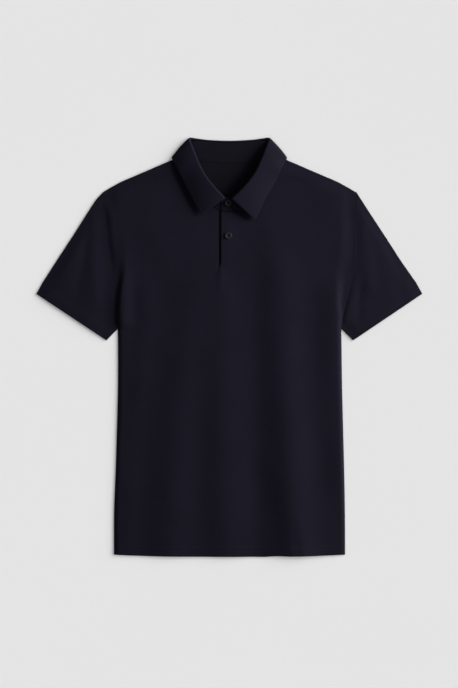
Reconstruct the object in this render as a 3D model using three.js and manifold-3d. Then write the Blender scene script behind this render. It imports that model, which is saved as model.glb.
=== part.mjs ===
// Short-sleeved knit shirt with a turned-down collar and a half placket, laid flat on its back.
// Millimetres. +X is the wearer's left, +Y runs from hem to collar, +Z is up off the surface below.
// The back panel lies on the surface, the front panel lies on the back panel, each sleeve is a
// flattened tube, and the collar's stand and leaf roll over a line that leans towards +Y.
import * as THREE from 'three';
import { mergeVertices } from 'three/addons/utils/BufferGeometryUtils.js';
import Module from 'manifold-3d';

// Cloth
const WALL = 1.6;
const BAND_WALL = 1.2;
const SEAM_GAP = 0.3;
const AIR = 1.8;
const MOST_LIFT = 3.5;
const LEAST_LIFT = 0.05;

// Body
const HEM_MIDDLE_Y = -376.7;
const HEM_CORNER_RISE = 3.7;
const HEM_DEPTH = 19;
const HEM_STEP = 0.4;
const STEP_RUN = 2.5;
const SIDE_FADE = 17;
const SHOULDER_FADE = 24;
const BODY_STEPS = 15;
const FRONT_COLUMNS = 28;
const BACK_COLUMNS = 14;

// Half width of the body at each height: side seam up to the armpit, then the armhole seam
const BODY_EDGE = [
  { y: -373, left: -207.5, right: 208.3 },
  { y: -300, left: -207.3, right: 208.0 },
  { y: -210, left: -204.0, right: 206.4 },
  { y: -145, left: -202.1, right: 204.7 },
  { y: -70, left: -200.3, right: 202.9 },
  { y: 33, left: -200.5, right: 201.5 },
  { y: 52, left: -202.5, right: 204.5 },
  { y: 75, left: -202.3, right: 209.5 },
  { y: 100, left: -201.2, right: 216.5 },
  { y: 125, left: -200.2, right: 222.0 },
  { y: 148, left: -200.8, right: 226.3 },
  { y: 170, left: -203.5, right: 229.5 },
  { y: 192, left: -207.0, right: 230.0 },
  { y: 212, left: -209.0, right: 229.0 },
  { y: 232, left: -211.0, right: 227.5 },
  { y: 250, left: -215.0, right: 226.0 },
  { y: 265, left: -220.5, right: 226.5 },
  { y: 279.5, left: -226.5, right: 228.0 },
];
const ARMPIT_Y = 33;
const SHOULDER_TIP_Y = 279.5;

// Shoulder line, the same on both sides, from the collar out to the sleeve
const SHOULDER = [
  { x: 0, y: 345.4 },
  { x: 82, y: 345.4 },
  { x: 100, y: 338.0 },
  { x: 119, y: 330.0 },
  { x: 143, y: 319.5 },
  { x: 170, y: 308.0 },
  { x: 195, y: 297.5 },
  { x: 215, y: 286.5 },
  { x: 228, y: 278.5 },
];
const NECK_POINT = { x: 82, y: 345.4 };

// The back panel rises over the collar leaf, which falls between it and the surface
const BACK_RISE = 2.0;
const BACK_RISE_START_Y = 292;
const BACK_RISE_FULL_Y = 318;

// Long soft folds of the front: three points on each crest or trough, its height at the top and at
// the foot, and its half width. Heights are those of the photographed drape before FOLD_SHARE.
const FOLD_SHARE = 0.5;
const BODY_FOLDS = [
  { x1: -53, y1: 150, x2: -80, y2: -23, x3: -108, y3: -372, top: 1.3, foot: 3.0, width: 36, start: 120 },
  { x1: -15, y1: 125, x2: -14, y2: -60, x3: -4, y3: -372, top: 1.5, foot: 2.9, width: 33, start: 110 },
  { x1: 88, y1: 180, x2: 98, y2: -20, x3: 122, y3: -372, top: 2.2, foot: 5.4, width: 35, start: 120 },
  { x1: 172, y1: 120, x2: 184, y2: -80, x3: 200, y3: -300, top: 0.9, foot: 1.1, width: 15, start: 60, end: 100 },
  { x1: -150, y1: 110, x2: -157, y2: -23, x3: -172, y3: -140, top: 0.7, foot: 0.4, width: 15, start: 80, end: 90 },
  { x1: -194, y1: 175, x2: -191, y2: 100, x3: -191, y3: 38, top: 1.2, foot: 3.0, width: 15, start: 110, end: 24 },
];

// Folds of the sleeves, in the same columns
const SLEEVE_FOLDS = [
  { x1: -238, y1: 245, x2: -238, y2: 160, x3: -236, y3: 75, top: 0.8, foot: 1.0, width: 12, start: 40, end: 35 },
  { x1: -252, y1: 216, x2: -262, y2: 158, x3: -274, y3: 98, top: -0.7, foot: -0.6, width: 10, start: 40, end: 30 },
  { x1: -280, y1: 190, x2: -291, y2: 140, x3: -302, y3: 95, top: 0.6, foot: 0.4, width: 16, start: 40, end: 30 },
  { x1: 240, y1: 235, x2: 246, y2: 160, x3: 252, y3: 100, top: 1.0, foot: 1.2, width: 13, start: 50, end: 35 },
  { x1: 296, y1: 180, x2: 305, y2: 135, x3: 312, y3: 95, top: -0.6, foot: -0.4, width: 14, start: 40, end: 30 },
];

// Sleeves
const SLEEVE_HEM_DEPTH = 25;
const SLEEVE_HEM_STEP = 0.25;
const SLEEVE_UNDERARM_SHARE = 0.24;
const SLEEVE_EDGE_FADE = 24;
const SLEEVE_SEAM_FADE = 13;
const SLEEVE_PANEL_RINGS = 8;
const SLEEVE_ROUND_STEPS = 3;
const SLEEVES = {
  left: {
    side: -1,
    top: [
      { x: -226.8, y: 279.5 }, { x: -240.5, y: 264.5 }, { x: -256.0, y: 240.5 },
      { x: -281.3, y: 200.5 }, { x: -309.5, y: 157.5 }, { x: -335.7, y: 116.5 },
    ],
    hemTop: { x: -347.2, y: 95.9 },
    hemUnderarm: { x: -220.9, y: 12.2 },
  },
  right: {
    side: 1,
    top: [
      { x: 228.3, y: 279.5 }, { x: 238.0, y: 264.5 }, { x: 253.5, y: 240.5 },
      { x: 279.8, y: 200.5 }, { x: 307.4, y: 157.5 }, { x: 336.4, y: 116.0 },
    ],
    hemTop: { x: 347.2, y: 96.2 },
    hemUnderarm: { x: 222.7, y: 12.2 },
  },
};

// Placket: a slot in the front, filled by the under band and covered by the upper band
const PLACKET = { left: -18.7, right: 14.0, bottom: 135.6, top: 243.2 };
const PLACKET_FREE_EDGE_X = -15.0;
const PLACKET_RISE = 0.7;
const UNDER_DROP = 0.8;
const PLACKET_STEPS = 12;

// Collar, left half from the front end round to the middle of the back
// fold: the roll line. edge: the leaf's outer edge. seam: where the stand is sewn to the body.
// turn: 0 where the leaf lies over the stand, 180 where it lies under it.
const COLLAR_HALF = [
  { foldX: 7.2, foldY: 268.6, foldZ: 14.0, edgeX: 49.5, edgeY: 237.4, seamX: 14.4, seamY: 244.6, turn: 0 },
  { foldX: 18.9, foldY: 280.6, foldZ: 15.6, edgeX: 58.5, edgeY: 251.8, seamX: 33.3, seamY: 254.5, turn: 0 },
  { foldX: 33.3, foldY: 296.8, foldZ: 16.4, edgeX: 69.3, edgeY: 271.6, seamX: 52.2, seamY: 270.7, turn: 0 },
  { foldX: 46.8, foldY: 316.6, foldZ: 16.0, edgeX: 81.0, edgeY: 295.0, seamX: 68.4, seamY: 291.4, turn: 4 },
  { foldX: 57.6, foldY: 340.0, foldZ: 14.0, edgeX: 91.8, edgeY: 317.5, seamX: 79.2, seamY: 313.9, turn: 12 },
  { foldX: 65.2, foldY: 359.5, foldZ: 11.5, edgeX: 99.0, edgeY: 331.4, seamX: 83.4, seamY: 329.5, turn: 28 },
  { foldX: 69.2, foldY: 369.4, foldZ: 9.4, edgeX: 102.6, edgeY: 337.3, seamX: 84.0, seamY: 338.0, turn: 48 },
  { foldX: 70.6, foldY: 375.0, foldZ: 7.6, edgeX: 103.0, edgeY: 341.2, seamX: 82.2, seamY: 342.6, turn: 72 },
  { foldX: 67.6, foldY: 376.4, foldZ: 6.0, edgeX: 98.6, edgeY: 342.0, seamX: 77.8, seamY: 342.2, turn: 104 },
  { foldX: 60.0, foldY: 375.6, foldZ: 4.4, edgeX: 90.0, edgeY: 338.4, seamX: 69.6, seamY: 340.2, turn: 145 },
  { foldX: 43.0, foldY: 373.4, foldZ: 3.3, edgeX: 64.0, edgeY: 331.0, seamX: 47.0, seamY: 334.6, turn: 172 },
  { foldX: 21.0, foldY: 372.0, foldZ: 3.0, edgeX: 31.0, edgeY: 327.6, seamX: 23.0, seamY: 331.9, turn: 180 },
  { foldX: 0, foldY: 371.4, foldZ: 3.0, edgeX: 0, edgeY: 326.5, seamX: 0, seamY: 331.0, turn: 180 },
];
// The wearer's left leaf lies a little lower and its stand end passes over the other one
const RIGHT_FRONT = [
  { foldX: 3.6, foldY: 267.5, foldZ: 16.1, edgeX: 45.9, edgeY: 228.4 },
  { foldX: 18.9, foldY: 281.5, foldZ: 16.8, edgeX: 55.8, edgeY: 247.3 },
  { foldX: 33.3, foldY: 297.7, foldZ: 16.9, edgeX: 67.5, edgeY: 271.6 },
];
const ROLL_RADIUS = 2.2;
const ROLL_STEPS = 5;
const LEAF_STEPS = 5;
const LEAF_BULGE = 1.2;
const LEAF_REST = 0.7;
const LEAF_STAND_OFF = 3.0;
const STAND_STEPS = 5;
const STAND_TURN_INSET = 2.2;
const STAND_LEVEL_SHARE = 0.22;
const COLLAR_SPLITS = 2;
const NECK_CENTRE = { x: 0, y: 305 };
const SHOULDER_STATION = 7;

// Stand ends past the leaf: seam point, top point, both heights and the lift over the body's wall
const UNDER_END = [
  { seamX: 10.0, seamY: 243.9, seamLift: -0.65, topX: 9.5, topY: 265.4, topZ: 10.8 },
  { seamX: -3.0, seamY: 243.8, seamLift: -0.65, topX: -1.0, topY: 265.8, topZ: 11.2 },
];
const OVER_END = [
  { seamX: 2.0, seamY: 243.8, seamLift: 0.95, topX: -1.2, topY: 267.2, topZ: 14.0 },
  { seamX: -14.6, seamY: 244.2, seamLift: 0.95, topX: -13.8, topY: 264.0, topZ: 13.8 },
];
const UNDER_SEAM_LIFT = -0.65;
const OVER_SEAM_LIFT = 0.95;

// Buttons
const BUTTON = { radius: 6.35, thickness: 1.5, rim: 3.0, dish: 0.75, holeRadius: 0.7, holeOffset: 1.05 };
const BUTTON_SIDES = 28;
const HOLE_SIDES = 8;
const PLACKET_BUTTON = { x: -1.9, y: 200.6 };
const NECK_BUTTON = { x: -1.9, y: 257.6 };

// Prisms that cut the openings
const CUTTER_BELOW = 5;
const CUTTER_HEIGHT = 40;
const CUTTER_BEYOND = 20;
const CUTTER_CORNER = 6;

// Finishes
const CLOTH_COLOUR = 0x17161d;
const BUTTON_COLOUR = 0x14141b;

const wasm = await Module();
wasm.setup();

function clamp(value, low, high) {
  return Math.min(Math.max(value, low), high);
}

function smooth(from, to, value) {
  const t = clamp((value - from) / (to - from), 0, 1);
  return t * t * (3 - 2 * t);
}

function mix(a, b, t) {
  return a + (b - a) * t;
}

// Straight-line reading of one column of a table at a value of its key column
function readRows(rows, key, at, column) {
  if (at <= rows[0][key]) {
    return rows[0][column];
  }
  for (let i = 1; i < rows.length; i += 1) {
    if (at <= rows[i][key]) {
      const t = (at - rows[i - 1][key]) / (rows[i][key] - rows[i - 1][key]);
      return mix(rows[i - 1][column], rows[i][column], t);
    }
  }
  return rows[rows.length - 1][column];
}

function hemY(x) {
  return HEM_MIDDLE_Y + HEM_CORNER_RISE * Math.abs(x / BODY_EDGE[0].right) ** 3;
}

function shoulderY(x) {
  return readRows(SHOULDER, 'x', Math.abs(x), 'y');
}

// Where a fold's crest lies at height y: the parabola through its three points
function foldCentre(fold, y) {
  const a = ((y - fold.y2) * (y - fold.y3)) / ((fold.y1 - fold.y2) * (fold.y1 - fold.y3));
  const b = ((y - fold.y1) * (y - fold.y3)) / ((fold.y2 - fold.y1) * (fold.y2 - fold.y3));
  const c = ((y - fold.y1) * (y - fold.y2)) / ((fold.y3 - fold.y1) * (fold.y3 - fold.y2));
  return a * fold.x1 + b * fold.x2 + c * fold.x3;
}

function foldHeight(folds, x, y) {
  let total = 0;
  for (const fold of folds) {
    const begins = 1 - smooth(fold.y1 - fold.start / 2, fold.y1 + fold.start / 2, y);
    const ends = fold.end ? smooth(fold.y3 - fold.end / 2, fold.y3 + fold.end / 2, y) : 1;
    const at = clamp(y, fold.y3, fold.y1);
    const across = (x - foldCentre(fold, at)) / fold.width;
    const height = mix(fold.top, fold.foot, (fold.y1 - at) / (fold.y1 - fold.y3));
    total += height * begins * ends * Math.exp(-across * across);
  }
  return FOLD_SHARE * total;
}

function backRise(x, y) {
  return BACK_RISE * smooth(BACK_RISE_START_Y, BACK_RISE_FULL_Y, y);
}

// Height of the front panel's inside over the back panel: zero at the seams, waved by the folds
function frontLift(x, y) {
  const left = readRows(BODY_EDGE, 'y', y, 'left');
  const right = readRows(BODY_EDGE, 'y', y, 'right');
  const fromSide = Math.min(x - left, right - x);
  const besideNeck = Math.max(NECK_POINT.x - Math.abs(x), 0);
  const fromShoulder = Math.hypot(besideNeck, shoulderY(x) - y);
  const fade = smooth(0, SIDE_FADE, fromSide) * smooth(0, SHOULDER_FADE, fromShoulder);
  const lift = fade * (AIR + foldHeight(BODY_FOLDS, x, y));
  return clamp(lift, LEAST_LIFT, MOST_LIFT);
}

function frontInside(x, y) {
  return backRise(x, y) + WALL + SEAM_GAP + frontLift(x, y);
}

function frontOutside(x, y) {
  const hemBand = 1 - smooth(HEM_DEPTH - STEP_RUN, HEM_DEPTH, y - hemY(x));
  return frontInside(x, y) + WALL + HEM_STEP * hemBand;
}

// Closed body between two matching grids of points, the first one on the outer side
function closedSheet(outer, inner, ringed = false) {
  const rows = outer.length;
  const columns = outer[0].length;
  const positions = [];
  for (const grid of [outer, inner]) {
    for (const row of grid) {
      for (const point of row) {
        positions.push(point.x, point.y, point.z);
      }
    }
  }
  const at = (layer, row, column) => layer * rows * columns + row * columns + (column % columns);
  const index = [];
  const quad = (a, b, c, d) => index.push(a, b, c, a, c, d);
  const spans = ringed ? columns : columns - 1;
  for (let i = 0; i < rows - 1; i += 1) {
    for (let j = 0; j < spans; j += 1) {
      quad(at(0, i, j), at(0, i, j + 1), at(0, i + 1, j + 1), at(0, i + 1, j));
      quad(at(1, i, j), at(1, i + 1, j), at(1, i + 1, j + 1), at(1, i, j + 1));
    }
  }
  for (let j = 0; j < spans; j += 1) {
    quad(at(1, 0, j), at(1, 0, j + 1), at(0, 0, j + 1), at(0, 0, j));
    quad(at(0, rows - 1, j), at(0, rows - 1, j + 1), at(1, rows - 1, j + 1), at(1, rows - 1, j));
  }
  if (!ringed) {
    for (let i = 0; i < rows - 1; i += 1) {
      quad(at(1, i, 0), at(0, i, 0), at(0, i + 1, 0), at(1, i + 1, 0));
      quad(at(0, i, columns - 1), at(1, i, columns - 1), at(1, i + 1, columns - 1), at(0, i + 1, columns - 1));
    }
  }
  const geometry = new THREE.BufferGeometry();
  geometry.setAttribute('position', new THREE.Float32BufferAttribute(positions, 3));
  geometry.setIndex(index);
  return facingOut(geometry);
}

// Turns the faces over where the enclosed volume comes out negative
function facingOut(geometry) {
  const position = geometry.getAttribute('position');
  const index = geometry.getIndex().array;
  const corner = [new THREE.Vector3(), new THREE.Vector3(), new THREE.Vector3()];
  let volume = 0;
  for (let i = 0; i < index.length; i += 3) {
    corner.forEach((point, k) => point.fromBufferAttribute(position, index[i + k]));
    volume += corner[0].dot(corner[1].clone().cross(corner[2]));
  }
  if (volume < 0) {
    for (let i = 0; i < index.length; i += 3) {
      [index[i], index[i + 1]] = [index[i + 1], index[i]];
    }
  }
  geometry.computeVertexNormals();
  return geometry;
}

// Wall of even thickness about a grid of mid-surface points, kept off the surface that it rests on
function clothWall(grid, thickness) {
  const rows = grid.length;
  const columns = grid[0].length;
  const outer = [];
  const inner = [];
  for (let i = 0; i < rows; i += 1) {
    outer.push([]);
    inner.push([]);
    for (let j = 0; j < columns; j += 1) {
      const along = new THREE.Vector3().subVectors(
        grid[Math.min(i + 1, rows - 1)][j], grid[Math.max(i - 1, 0)][j]);
      const across = new THREE.Vector3().subVectors(
        grid[i][Math.min(j + 1, columns - 1)], grid[i][Math.max(j - 1, 0)]);
      const normal = along.cross(across).normalize().multiplyScalar(thickness / 2);
      for (const [layer, sign] of [[outer, 1], [inner, -1]]) {
        const point = grid[i][j].clone().addScaledVector(normal, sign);
        point.z = Math.max(point.z, 0);
        layer[i].push(point);
      }
    }
  }
  return closedSheet(outer, inner);
}

function toSolid(geometry) {
  const bare = new THREE.BufferGeometry();
  bare.setAttribute('position', geometry.getAttribute('position'));
  if (geometry.getIndex()) {
    bare.setIndex(geometry.getIndex());
  }
  const merged = mergeVertices(bare);
  return new wasm.Manifold(new wasm.Mesh({
    numProp: 3,
    vertProperties: new Float32Array(merged.getAttribute('position').array),
    triVerts: new Uint32Array(merged.getIndex().array),
  }));
}

function toGeometry(solid) {
  const mesh = solid.getMesh();
  const geometry = new THREE.BufferGeometry();
  geometry.setAttribute('position', new THREE.BufferAttribute(mesh.vertProperties, 3));
  geometry.setIndex(new THREE.BufferAttribute(mesh.triVerts, 1));
  geometry.computeVertexNormals();
  return geometry;
}

// Upright prism over an outline, from below the shirt to above it
function prism(outline) {
  const shape = new THREE.Shape(outline.map((point) => new THREE.Vector2(point.x, point.y)));
  const geometry = new THREE.ExtrudeGeometry(shape, { depth: CUTTER_HEIGHT, bevelEnabled: false });
  geometry.translate(0, 0, -CUTTER_BELOW);
  return toSolid(geometry);
}

// Rows of a body panel at its edge: hem, hem stitching, even steps, then the armhole rows
function bodyRows() {
  const start = BODY_EDGE[0].y;
  const rows = [start, start + HEM_DEPTH - STEP_RUN, start + HEM_DEPTH];
  const first = start + HEM_DEPTH;
  for (let i = 1; i < BODY_STEPS; i += 1) {
    rows.push(mix(first, ARMPIT_Y, i / BODY_STEPS));
  }
  for (const row of BODY_EDGE) {
    if (row.y >= ARMPIT_Y) {
      rows.push(row.y);
    }
  }
  return rows;
}

function bodyPanel(columns, lower, upper) {
  const rows = bodyRows();
  const last = BODY_EDGE[BODY_EDGE.length - 1];
  const outer = [];
  const inner = [];
  for (const rowY of rows) {
    const share = (rowY - BODY_EDGE[0].y) / (SHOULDER_TIP_Y - BODY_EDGE[0].y);
    outer.push([]);
    inner.push([]);
    for (let j = 0; j <= columns; j += 1) {
      const u = j / columns;
      const topY = Math.max(shoulderY(mix(last.left, last.right, u)), SHOULDER_TIP_Y);
      const bottomX = mix(BODY_EDGE[0].left, BODY_EDGE[0].right, u);
      const y = mix(hemY(bottomX), topY, share);
      const edgeY = mix(rowY, Math.max(y, rowY), u * (1 - u) * 4);
      const left = readRows(BODY_EDGE, 'y', edgeY, 'left');
      const right = readRows(BODY_EDGE, 'y', edgeY, 'right');
      const x = mix(left, right, u);
      outer[outer.length - 1].push(new THREE.Vector3(x, y, upper(x, y)));
      inner[inner.length - 1].push(new THREE.Vector3(x, y, lower(x, y)));
    }
  }
  return closedSheet(outer, inner);
}

// Sleeve: points over its flat outline, s from the top edge to the underarm, t from armhole to hem
function sleevePlan(sleeve) {
  const armholeColumn = sleeve.side < 0 ? 'left' : 'right';
  const armhole = BODY_EDGE.filter((row) => row.y >= ARMPIT_Y).reverse();
  const shares = armhole.map((row) => (SHOULDER_TIP_Y - row.y) / (SHOULDER_TIP_Y - ARMPIT_Y));
  const underarm = { x: armhole[armhole.length - 1][armholeColumn] + sleeve.side * SEAM_GAP, y: ARMPIT_Y };
  const bandUnderarm = {
    x: mix(underarm.x, sleeve.hemUnderarm.x, SLEEVE_UNDERARM_SHARE),
    y: mix(underarm.y, sleeve.hemUnderarm.y, SLEEVE_UNDERARM_SHARE),
  };
  const bandTop = sleeve.top[sleeve.top.length - 1];
  const rings = [];
  for (let i = 0; i <= SLEEVE_PANEL_RINGS; i += 1) {
    const t = i / SLEEVE_PANEL_RINGS;
    const place = t * (sleeve.top.length - 1);
    const cell = Math.min(Math.floor(place), sleeve.top.length - 2);
    const topX = mix(sleeve.top[cell].x, sleeve.top[cell + 1].x, place - cell);
    const topY = mix(sleeve.top[cell].y, sleeve.top[cell + 1].y, place - cell);
    const lowX = mix(underarm.x, bandUnderarm.x, t);
    const lowY = mix(underarm.y, bandUnderarm.y, t);
    rings.push(shares.map((s, k) => {
      const seamX = armhole[k][armholeColumn] + sleeve.side * SEAM_GAP;
      const bow = seamX - mix(sleeve.top[0].x, underarm.x, s);
      return { x: mix(topX, lowX, s) + bow * (1 - t), y: mix(topY, lowY, s), s, band: 0 };
    }));
  }
  for (const depth of [STEP_RUN, SLEEVE_HEM_DEPTH / 2, SLEEVE_HEM_DEPTH]) {
    const t = depth / SLEEVE_HEM_DEPTH;
    rings.push(shares.map((s) => ({
      x: mix(mix(bandTop.x, sleeve.hemTop.x, t), mix(bandUnderarm.x, sleeve.hemUnderarm.x, t), s),
      y: mix(mix(bandTop.y, sleeve.hemTop.y, t), mix(bandUnderarm.y, sleeve.hemUnderarm.y, t), s),
      s,
      band: 1,
    })));
  }
  return rings;
}

// Distance from an armhole seam, measured level
function fromArmhole(sleeve, x, y) {
  const column = sleeve.side < 0 ? 'left' : 'right';
  return Math.abs(x - readRows(BODY_EDGE, 'y', y, column));
}

function sleeveBody(sleeve) {
  const outer = [];
  const inner = [];
  const radius = (2 * WALL + SEAM_GAP) / 2;
  for (const ring of sleevePlan(sleeve)) {
    const top = new THREE.Vector2(ring[0].x, ring[0].y);
    const low = new THREE.Vector2(ring[ring.length - 1].x, ring[ring.length - 1].y);
    const length = top.distanceTo(low);
    const down = low.clone().sub(top).normalize();
    const outerRing = [];
    const innerRing = [];
    const topPoints = ring.map((point) => {
      const fromTop = point.s * length;
      const inset = clamp(fromTop, radius, length - radius) - fromTop;
      const insetIn = clamp(fromTop, radius + SEAM_GAP, length - radius - SEAM_GAP) - fromTop;
      const fade = smooth(0, SLEEVE_EDGE_FADE, fromTop) * smooth(0, SLEEVE_EDGE_FADE, length - fromTop);
      const seamFade = smooth(0, SLEEVE_SEAM_FADE, fromArmhole(sleeve, point.x, point.y));
      const lift = clamp(
        fade * seamFade * (AIR + foldHeight(SLEEVE_FOLDS, point.x, point.y)), LEAST_LIFT, MOST_LIFT);
      return {
        outX: point.x + down.x * inset,
        outY: point.y + down.y * inset,
        inX: point.x + down.x * insetIn,
        inY: point.y + down.y * insetIn,
        lift,
        step: SLEEVE_HEM_STEP * point.band,
      };
    });
    for (const point of topPoints) {
      const under = WALL + SEAM_GAP + point.lift;
      outerRing.push(new THREE.Vector3(point.outX, point.outY, under + WALL + point.step));
      innerRing.push(new THREE.Vector3(point.inX, point.inY, under));
    }
    const turnPoints = (end, direction) => {
      const height = 2 * radius + end.step + end.lift;
      for (let k = 1; k < SLEEVE_ROUND_STEPS; k += 1) {
        const angle = (Math.PI * k) / SLEEVE_ROUND_STEPS;
        const reach = radius * Math.sin(angle) * direction;
        const z = (height / 2) * (1 + Math.cos(angle) * direction);
        const share = (1 + Math.cos(angle) * direction) / 2;
        outerRing.push(new THREE.Vector3(end.outX + down.x * reach, end.outY + down.y * reach, z));
        innerRing.push(new THREE.Vector3(end.inX, end.inY, WALL + (SEAM_GAP + end.lift) * share));
      }
    };
    turnPoints(topPoints[topPoints.length - 1], 1);
    for (let k = topPoints.length - 1; k >= 0; k -= 1) {
      const point = topPoints[k];
      outerRing.push(new THREE.Vector3(point.outX, point.outY, 0));
      innerRing.push(new THREE.Vector3(point.inX, point.inY, WALL));
    }
    turnPoints(topPoints[0], -1);
    outer.push(outerRing);
    inner.push(innerRing);
  }
  return closedSheet(outer, inner, true);
}

// All collar stations, from the wearer's right front end round the back to the left front end
function collarStations() {
  const stations = COLLAR_HALF.map((row, index) => ({
    ...row,
    foldX: -row.foldX,
    edgeX: -row.edgeX,
    seamX: -row.seamX,
    seamLift: index === 0 ? UNDER_SEAM_LIFT : 0,
  }));
  for (let i = COLLAR_HALF.length - 2; i >= 0; i -= 1) {
    const own = i < RIGHT_FRONT.length ? RIGHT_FRONT[i] : {};
    stations.push({ ...COLLAR_HALF[i], ...own, seamLift: i === 0 ? OVER_SEAM_LIFT : 0 });
  }
  return stations.map(stationPoints);
}

// Heights of the seam and the leaf's edge: on the front panel, round the shoulder, on the surface
function stationHeights(row) {
  const frontShare = 1 - smooth(40, 110, row.turn);
  const seamFront = frontInside(row.seamX, row.seamY) + WALL / 2;
  const seamBack = backRise(row.seamX, row.seamY) + WALL / 2;
  const rest = LEAF_REST + LEAF_STAND_OFF * (1 - smooth(2, 40, row.turn));
  const edgeFront = frontOutside(row.edgeX, row.edgeY) + SEAM_GAP + rest + WALL / 2;
  const edgeShare = 1 - smooth(44, 106, row.turn);
  return {
    seamZ: mix(seamBack, seamFront, frontShare) + row.seamLift,
    edgeZ: mix(WALL / 2, edgeFront, edgeShare),
  };
}

function stationPoints(row) {
  const heights = stationHeights(row);
  const fold = new THREE.Vector3(row.foldX, row.foldY, row.foldZ);
  const edge = new THREE.Vector3(row.edgeX, row.edgeY, heights.edgeZ);
  const seam = new THREE.Vector3(row.seamX, row.seamY, heights.seamZ);
  const down = edge.clone().add(seam).multiplyScalar(0.5).sub(fold).setZ(0).normalize();
  const inward = new THREE.Vector3(-down.y, down.x, 0);
  const toCentre = new THREE.Vector3(NECK_CENTRE.x - fold.x, NECK_CENTRE.y - fold.y, 0);
  if (inward.dot(toCentre) < 0) {
    inward.negate();
  }
  const turn = THREE.MathUtils.degToRad(row.turn);
  const toStand = inward.multiplyScalar(Math.sin(turn)).setZ(-Math.cos(turn));
  const centre = fold.clone().addScaledVector(down, ROLL_RADIUS + WALL / 2);
  return { centre, edge, seam, down, toStand, turn: row.turn };
}

function blendStations(stations) {
  const read = (index, name) => stations[clamp(index, 0, stations.length - 1)][name];
  const result = [];
  const names = ['centre', 'edge', 'seam', 'down', 'toStand'];
  for (let i = 0; i < stations.length - 1; i += 1) {
    for (let k = 0; k < COLLAR_SPLITS; k += 1) {
      const t = k / COLLAR_SPLITS;
      const station = { turn: mix(stations[i].turn, stations[i + 1].turn, t) };
      for (const name of names) {
        const curve = new THREE.CatmullRomCurve3(
          [read(i - 1, name), read(i, name), read(i + 1, name), read(i + 2, name)], false, 'catmullrom', 0.5);
        station[name] = curve.getPoint((1 + t) / 3);
      }
      station.down.normalize();
      station.toStand.normalize();
      result.push(station);
    }
  }
  result.push({ ...stations[stations.length - 1] });
  return result;
}

function bend(from, control, to, t) {
  const a = (1 - t) * (1 - t);
  const b = 2 * t * (1 - t);
  const c = t * t;
  return new THREE.Vector3(
    a * from.x + b * control.x + c * to.x,
    a * from.y + b * control.y + c * to.y,
    a * from.z + b * control.z + c * to.z,
  );
}

// One section of the leaf: round the roll from the stand's top, then down to the outer edge
function leafSection(station) {
  const points = [];
  for (let k = 0; k <= ROLL_STEPS; k += 1) {
    const angle = (Math.PI * k) / ROLL_STEPS;
    points.push(station.centre.clone()
      .addScaledVector(station.toStand, ROLL_RADIUS * Math.cos(angle))
      .addScaledVector(station.down, -ROLL_RADIUS * Math.sin(angle)));
  }
  const start = points[points.length - 1];
  const bulge = LEAF_BULGE * (1 - smooth(80, 135, station.turn));
  const middle = start.clone().lerp(station.edge, 0.5).addScaledVector(station.toStand, -2 * bulge);
  for (let k = 1; k <= LEAF_STEPS; k += 1) {
    points.push(bend(start, middle, station.edge, k / LEAF_STEPS));
  }
  return points;
}

// One section of the stand: from its seam, level at first, up to just under the roll
function standSection(seam, top) {
  const control = seam.clone().lerp(top, 0.5);
  control.z = mix(seam.z, top.z, STAND_LEVEL_SHARE);
  const points = [];
  for (let k = 0; k <= STAND_STEPS; k += 1) {
    points.push(bend(seam, control, top, k / STAND_STEPS));
  }
  return points;
}

function standEnd(row) {
  const seamZ = frontInside(row.seamX, row.seamY) + WALL / 2 + row.seamLift;
  return standSection(
    new THREE.Vector3(row.seamX, row.seamY, seamZ),
    new THREE.Vector3(row.topX, row.topY, row.topZ),
  );
}

// The stand stops short of the leaf, and where the collar turns over at the shoulder it also
// stands further in
function standTop(station) {
  const turning = Math.sin(THREE.MathUtils.degToRad(clamp(station.turn, 0, 180)));
  return station.centre.clone()
    .addScaledVector(station.toStand, ROLL_RADIUS + STAND_TURN_INSET * turning)
    .addScaledVector(station.down, SEAM_GAP * (2 + 4 * turning));
}

const stations = blendStations(collarStations());

function collarStand() {
  const sections = UNDER_END.map(standEnd);
  for (const station of stations) {
    sections.push(standSection(station.seam, standTop(station)));
  }
  sections.push(...OVER_END.map(standEnd));
  return clothWall(sections, BAND_WALL);
}

function collarLeaf() {
  return clothWall(stations.map(leafSection), WALL);
}

// Seam line pushed out from the neck by the seam gap, over a run of stations
function neckOutline(first, last) {
  const gap = SEAM_GAP * 1.5;
  return stations.slice(first, last + 1).map((station) => {
    const away = new THREE.Vector2(station.seam.x - NECK_CENTRE.x, station.seam.y - NECK_CENTRE.y);
    away.normalize().multiplyScalar(gap);
    return { x: station.seam.x + away.x, y: station.seam.y + away.y };
  });
}

function frontPanel() {
  const shoulder = (SHOULDER_STATION - 1) * COLLAR_SPLITS;
  const end = stations.length - 1;
  const beyond = NECK_POINT.y + CUTTER_BEYOND;
  const left = neckOutline(0, shoulder).reverse();
  const right = neckOutline(end - shoulder, end).reverse();
  const neck = prism([
    { x: left[0].x - SEAM_GAP, y: beyond },
    ...left,
    ...right,
    { x: right[right.length - 1].x + SEAM_GAP, y: beyond },
  ]);
  const slot = prism([
    { x: PLACKET.left, y: PLACKET.bottom },
    { x: PLACKET.right, y: PLACKET.bottom },
    { x: PLACKET.right, y: NECK_CENTRE.y },
    { x: PLACKET.left, y: NECK_CENTRE.y },
  ]);
  const panel = toSolid(bodyPanel(FRONT_COLUMNS, frontInside, frontOutside));
  return toGeometry(panel.subtract(neck).subtract(slot));
}

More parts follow.
